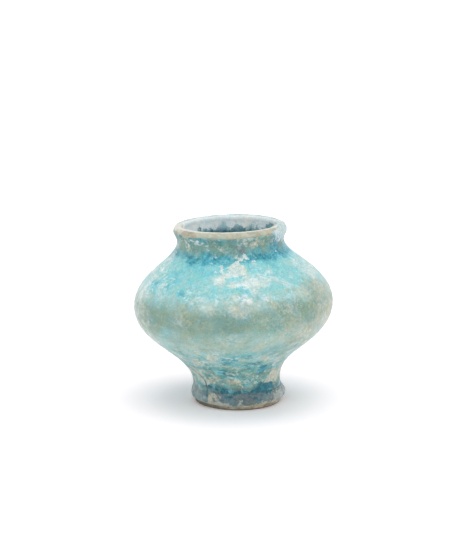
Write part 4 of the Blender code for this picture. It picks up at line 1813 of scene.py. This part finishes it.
@dataclass
class ClayBody:
    """The thrown clay: lip, wall, foot and floor in one closed piece."""

    form: JarForm
    edges: Edges
    name: str = "jar_clay"
    node: str = "clay_body"
    slot: str = "buff_clay"
    sunk_mm: float = 0.45
    neck_inside: float = 0.0780
    neck_outside: float = 0.0800
    foot_top: float = 0.0060

    def shell(self) -> Shell:
        """The outline from the middle of the hollow's floor over the lip to the base's middle.

        Returns:
            The shell, with its closest rows where clay shows.
        """
        inside, outside = self.form.inside(), self.form.outside()
        base = np.array([(outside[-1, 0] * share, 0.0) for share in np.linspace(1.0, 0.0, 24)])
        spans = [(inside, 0.0, self.neck_inside, 22), (inside, self.neck_inside, ABOVE_LIP, 34),
                 (outside, self.neck_outside, ABOVE_LIP, 34),
                 (outside, self.foot_top, self.neck_outside, 22),
                 (outside, 0.0, self.foot_top, 22)]
        stretches = [Outline.sampled(Outline.cut(line, low, high), rows)
                     for line, low, high, rows in spans]
        points = Outline.joined([*stretches, base])
        outward = Outline.facing(points)
        outward[0] = (0.0, 1.0)
        outward[-len(base) + 1:] = (0.0, -1.0)
        return Shell(self.name, points, outward, np.ones(len(points)))

    def make(self, tree: TurningTree, finish: bpy.types.Material) -> bpy.types.Object:
        """Turns, sinks and stains the clay, and paints shadow and a highlight on it.

        Args:
            tree: The turning tree.
            finish: The clay's material.

        Returns:
            The finished piece.
        """
        item = self.shell().turned(tree, finish)
        mesh = item.data
        surface = Surface.of(Meshes.vectors(mesh, "turned_place"))
        out = Meshes.vectors(mesh, "outward")
        radial = out[:, 0] * surface.place_mm[:, 0] + out[:, 1] * surface.place_mm[:, 1]
        inner = (radial < 0) & (surface.radius < 49.0) & (surface.height > 10.0)
        top, foot = self.edges.top_at(surface), self.edges.foot_at(surface)
        covered = eased(top - surface.height, -0.15, 0.5) * eased(surface.height - foot, -0.15, 0.5)
        covered_inside = eased(self.edges.inner_cover(surface), -0.15, 0.5)
        covered = np.where(inner, covered_inside, covered)
        covered = np.where(surface.height < 0.3, 0.0, covered)
        relief = Hand.relief_mm(surface) * np.where(inner, 0.0, 1.0)
        relief += 0.05 * surface.cloud(2.5, Seed.CLAY_GRAIN, 3) * (surface.height > 0.3)
        Meshes.pushed(mesh, relief - covered * self.sunk_mm)
        for stain, value in self.stains(surface, top).items():
            Meshes.keep(mesh, stain, np.clip(value, 0.0, 1.0))
        Meshes.closed(mesh)
        return item

    @staticmethod
    def stains(surface: Surface, top: Array) -> dict[str, Array]:
        """How strong each stain, the painted shadow and the painted highlight are on the clay.

        Args:
            surface: The points of the clay.
            top: Height of the outer coat's upper edge at each point, in millimetres.

        Returns:
            For each stain, a value at each point: 0 or less where it is absent, 1 or more
            where it covers all.
        """
        height = surface.height
        low = 1.0 - eased(height, 1.6, 3.6)
        on_lip = eased(height, 87.2, 88.8)

        tan = hill(surface.away(-48.0), 11.0) * eased(height, 86.5, 88.0)
        tan = 0.42 * tan + 0.22 + 0.38 * surface.cloud(3.4, Seed.TAN, 4)
        tan += 0.3 * eased(87.6 - height, -0.6, 0.4)

        orange = 0.42 * hill(surface.away(42.0), 4.0) * eased(height, 85.5, 87.0)
        spread = 0.20 + 0.45 * hill(surface.away(38.0), 22.0)
        orange += low * spread + 0.15 * surface.cloud(6.0, Seed.ORANGE, 4)

        # Grime with painted shadow: a dark line along the very bottom where the foot meets the
        # floor, and painted shadow under the overhanging drip at the left of the foot
        grime_and_shadow = 0.10 + 0.25 * low + 1.1 * (1.0 - eased(height, 0.35, 0.85))
        shade = hill(surface.away(-60.0), 24.0) * (1.0 - eased(height, 1.8, 3.0))
        grime_and_shadow += 1.1 * shade
        grime_and_shadow += 0.2 * surface.cloud(4.0, Seed.GRIME_AND_SHADOW, 4)

        film = 0.62 * (1.0 - eased(np.abs(height - top), 0.1, 1.1)) + 0.12
        film += 0.22 * surface.cloud(3.0, Seed.FILM, 4)

        # Painted highlight: a pale line along the crest of the lip, and paler stretches of the lip
        # at the left and at the back right, where the rim catches the light
        lip_highlight = 0.85 * eased(height, 89.3, 89.8) + 0.15 * surface.cloud(4.0, Seed.LIP_HIGHLIGHT, 3)
        lip_highlight += 0.8 * hill(surface.away(-86.0), 24.0) * on_lip
        lip_highlight += 0.6 * hill(surface.away(108.0), 20.0) * on_lip
        return {"film_stain": film, "tan_stain": tan, "orange_stain": orange,
                "grime_and_painted_shadow": grime_and_shadow, "painted_lip_highlight": lip_highlight}


@dataclass
class GlazeCoat:
    """A coat of glaze on the clay, with wear shaped into its face."""

    node: str
    slot: str
    shell: Shell
    weathering: Weathering
    cover: Callable[[Surface], Array]
    palette: GlazePalette
    thick_mm: float = 0.10
    sunk_mm: float = 0.40
    crack_mm: float = 0.38

    def make(self, tree: TurningTree, finish: bpy.types.Material) -> bpy.types.Object:
        """Turns the coat, shapes its wear and keeps the wear for the material.

        Args:
            tree: The turning tree.
            finish: The glaze's material.

        Returns:
            The finished piece.
        """
        item = self.shell.turned(tree, finish)
        mesh = item.data
        surface = Surface.of(Meshes.vectors(mesh, "turned_place"))
        layers = self.weathering.fields(surface)
        inside = eased(self.cover(surface), -0.1, 0.55)
        crust = eased(layers[CRUST], 0.35, 0.75)
        bare = eased(layers[BARE], 0.40, 0.75)
        relief = self.thick_mm + 0.10 * layers[DEPTH] + 0.10 * crust - 0.16 * bare
        relief += 0.05 * surface.cloud(2.2, Seed.GLAZE_GRAIN, 3) * (0.5 + crust)
        relief -= self.crack_mm * self.weathering.groove(surface)
        amount = inside * relief - (1.0 - inside) * self.sunk_mm
        Meshes.pushed(mesh, amount * Meshes.values(mesh, "face") + Hand.relief_mm(surface))
        for layer, values in layers.items():
            Meshes.keep(mesh, layer.value, values)
        Meshes.closed(mesh)
        return item


class Jar:
    """The whole jar: its clay and its four coats.

    Each span is the lowest and the highest point of a coat's face. The inner coat's is that of
    its closest rows, with the rest of the hollow below it.
    """

    OUTER_SPAN = (0.0076, 0.08978)
    ROLL_SPAN = (0.0006, 0.0112)
    INNER_SPAN = (0.0700, 0.0895)
    RUN_FOOT_INSIDE = 0.0850
    RUN_FOOT_OUTSIDE = 0.0790

    def __init__(self) -> None:
        """Sets up the form, the wear and the finishes."""
        self.form = JarForm()
        self.edges = Edges()
        cracks = tuple(crack(*length)[0] for length in CRACK_LENGTHS)
        self.outside = Weathering(outside_rules(), tuple(wear_patches()), cracks)
        self.inside = Weathering(inside_rules(), tuple(inside_patches()), upright=3.6,
                                 back_patches=0, speckle=((0, .15), (78, .22), (90, .18)),
                                 strokes=((0, 0.0), (90, 0.0)))
        self.run = Weathering(run_rules(), (), grain_mm=1.7, upright=4.0, back_patches=0,
                              broad=0.12, speckle=((0, .40), (84, .40), (90, .22)),
                              strokes=((0, 0.0), (90, 0.0)))
        self.tree = TurningTree(Hand(), self.form)
        self.finishes = Finishes(SharedEffects())

    def outer_shell(self) -> Shell:
        """The outer coat, from under the lip to below the roll's upper edge."""
        face = Outline.sampled(Outline.cut(self.form.outside(), *self.OUTER_SPAN), 212)
        return Shell.coat("jar_outer_glaze", face)

    def roll_shell(self) -> Shell:
        """The roll round the foot, from above its upper edge to below its lower edge."""
        face = Outline.sampled(Outline.cut(self.form.outside(), *self.ROLL_SPAN), 46)
        return Shell.coat("jar_foot_glaze", face, 12, around=540)

    def inner_shell(self) -> Shell:
        """The inner coat, from the middle of the floor to inside the lip.

        Returns:
            The shell, with its closest rows in the neck.
        """
        inside = self.form.inside()
        low = Outline.sampled(Outline.cut(inside, 0.0, self.INNER_SPAN[0]), 60)
        high = Outline.sampled(Outline.cut(inside, *self.INNER_SPAN), 52)
        return Shell.coat("jar_inner_glaze", Outline.joined([low, high]), ring=False, around=360)

    def run_shell(self) -> Shell:
        """The run over the lip, across its face and back along its seat.

        Returns:
            The shell, swept only past the run's own part of the lip.
        """
        inside = Outline.cut(self.form.inside(), self.RUN_FOOT_INSIDE, ABOVE_LIP)
        outside = Outline.cut(self.form.outside(), self.RUN_FOOT_OUTSIDE, ABOVE_LIP)
        face = Outline.sampled(Outline.joined([inside, outside]), 90)
        return Shell.coat("jar_lip_run", face, around=170, start=math.radians(-58.0),
                          sweep=math.radians(92.0))

    def coats(self) -> list[GlazeCoat]:
        """The four coats.

        Returns:
            Each coat with its wear, the rule that says where it covers the clay, and its look.
        """
        foot_look = GlazePalette(
            "pooled_foot_glaze", thin=(0.36, 0.46, 0.47), body=(0.19, 0.29, 0.31),
            deep=(0.045, 0.19, 0.24), pool=(0.004, 0.09, 0.12), crust=(0.44, 0.50, 0.51),
            chalk=(0.54, 0.59, 0.60), bare=(0.52, 0.50, 0.42), violet=(0.15, 0.18, 0.195),
            gloss=0.34)
        # Its thin coat, crust and chalk are made paler than the glaze's own colour: painted light
        # that offsets the shade inside the mouth
        inner_look = GlazePalette(
            "dulled_inner_glaze", thin=(0.68, 0.79, 0.80), body=(0.36, 0.60, 0.64),
            deep=(0.05, 0.26, 0.32), crust=(0.73, 0.87, 0.91), chalk=(0.94, 0.98, 0.98),
            violet=(0.43, 0.55, 0.61), grain=0.5)
        run_look = GlazePalette(
            "pale_lip_glaze", crust=(0.50, 0.62, 0.65), chalk=(0.70, 0.79, 0.82),
            violet=(0.26, 0.38, 0.45), gloss=0.20, matte=0.42, shine=0.5)
        edges = self.edges
        return [
            GlazeCoat("outer_glaze", "turquoise_glaze", self.outer_shell(), self.outside,
                      edges.outer_cover, GlazePalette("weathered_turquoise_glaze")),
            GlazeCoat("foot_glaze_roll", "pooled_blue_glaze", self.roll_shell(), self.outside,
                      edges.roll_cover, foot_look, thick_mm=0.16),
            GlazeCoat("inner_glaze", "grey_blue_glaze", self.inner_shell(), self.inside,
                      edges.inner_cover, inner_look),
            GlazeCoat("lip_glaze_run", "pale_glaze", self.run_shell(), self.run,
                      edges.run_cover, run_look, thick_mm=0.22, sunk_mm=0.35),
        ]

    def build(self) -> None:
        """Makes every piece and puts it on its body."""
        clay = ClayBody(self.form, self.edges)
        made = [(clay, clay.make(self.tree, self.finishes.clay(ClayPalette("buff_fired_clay"))))]
        for coat in self.coats():
            made.append((coat, coat.make(self.tree, self.finishes.glaze(coat.palette))))
        for maker, piece in made:
            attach(piece, "root")
            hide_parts(maker.node)
            log.info("%s: %d points, %d faces, stands for %s", piece.name,
                     len(piece.data.vertices), len(piece.data.polygons), maker.node)


@dataclass(frozen=True)
class Lamp:
    """One broad, soft lamp: where its light goes, how strong it is and how wide it looks."""

    name: str
    towards: tuple[float, float, float]
    strength: float
    spread: float


@dataclass(frozen=True)
class Studio:
    """The floor, the light and the camera."""

    camera_distance: float = 0.81575
    camera_elevation: float = 13.22
    aim_height: float = 0.044
    lens: float = 106.4
    pitch_down: float = 11.90
    yaw_left: float = 0.283
    wall_strength: float = 0.80
    ceiling_strength: float = 0.44
    sensor: float = 36.0
    floor_glow: float = 0.22
    floor_radius: float = 14.0
    floor_sides: int = 96
    lamp_colour: Colour = (1.0, 0.998, 0.992)
    lamps: tuple[Lamp, ...] = (
        Lamp("overhead_lamp", (-0.04, -0.02, -1.0), 1.12, 50.0),
        Lamp("left_softbox", (1.0, 0.20, -0.40), 0.42, 60.0),
        Lamp("right_softbox", (-1.0, 0.20, -0.40), 0.52, 60.0),
        Lamp("front_softbox", (0.10, 1.0, -0.50), 0.31, 60.0),
    )

    def floor(self, look: bpy.types.Material) -> bpy.types.Object:
        """A wide plain floor under the jar.

        Args:
            look: The floor's material.

        Returns:
            The floor.
        """
        shape = bmesh.new()
        bmesh.ops.create_circle(shape, cap_ends=True, segments=self.floor_sides,
                                radius=self.floor_radius)
        mesh = bpy.data.meshes.new("studio_floor")
        shape.to_mesh(mesh)
        shape.free()
        mesh.materials.append(look)
        item = placed("studio_floor", mesh)
        return item

    def light(self) -> None:
        """Sets up a near-white room and four broad lamps."""
        world = bpy.data.worlds.new("studio")
        bpy.context.scene.world = world
        world.use_nodes = True
        back = world.node_tree.nodes["Background"]
        write = NodeWriter(world.node_tree)
        way = write.add("ShaderNodeTexCoord").outputs["Generated"]
        height = write.add("ShaderNodeSeparateXYZ", {0: way}).outputs[2]
        room = write.scaled(height, 0.0, 0.9, self.wall_strength, self.ceiling_strength)
        write.put(write.scaled(write.seen(), 0.0, 1.0, room, 1.0), back.inputs["Strength"])
        back.inputs["Color"].default_value = (1.0, 1.0, 1.0, 1.0)
        for lamp in self.lamps:
            data = bpy.data.lights.new(lamp.name, "SUN")
            data.energy = lamp.strength
            data.angle = math.radians(lamp.spread)
            data.color = self.lamp_colour
            item = placed(lamp.name, data)
            item.rotation_mode = "QUATERNION"
            item.rotation_quaternion = Vector(lamp.towards).to_track_quat("-Z", "Y")

    def camera(self) -> None:
        """Sets up the camera at the photograph's viewing angle."""
        rise = math.radians(self.camera_elevation)
        data = bpy.data.cameras.new("studio_camera")
        data.sensor_width = self.sensor
        data.lens = self.lens
        item = placed("studio_camera", data)
        item.location = (0.0, -self.camera_distance * math.cos(rise),
                         self.aim_height + self.camera_distance * math.sin(rise))
        level = Quaternion((1.0, 0.0, 0.0), math.radians(90.0 - self.pitch_down))
        item.rotation_mode = "QUATERNION"
        item.rotation_quaternion = Quaternion((0.0, 0.0, 1.0), math.radians(self.yaw_left)) @ level
        bpy.context.scene.camera = item


def main() -> None:
    """Builds the jar and its studio."""
    logging.basicConfig(level=logging.INFO, format="%(name)s %(message)s")
    jar = Jar()
    jar.build()
    studio = Studio()
    studio.floor(jar.finishes.floor(studio.floor_glow))
    studio.light()
    studio.camera()
    bpy.context.scene.view_settings.view_transform = "Standard"


if __name__ == "__main__":
    main()
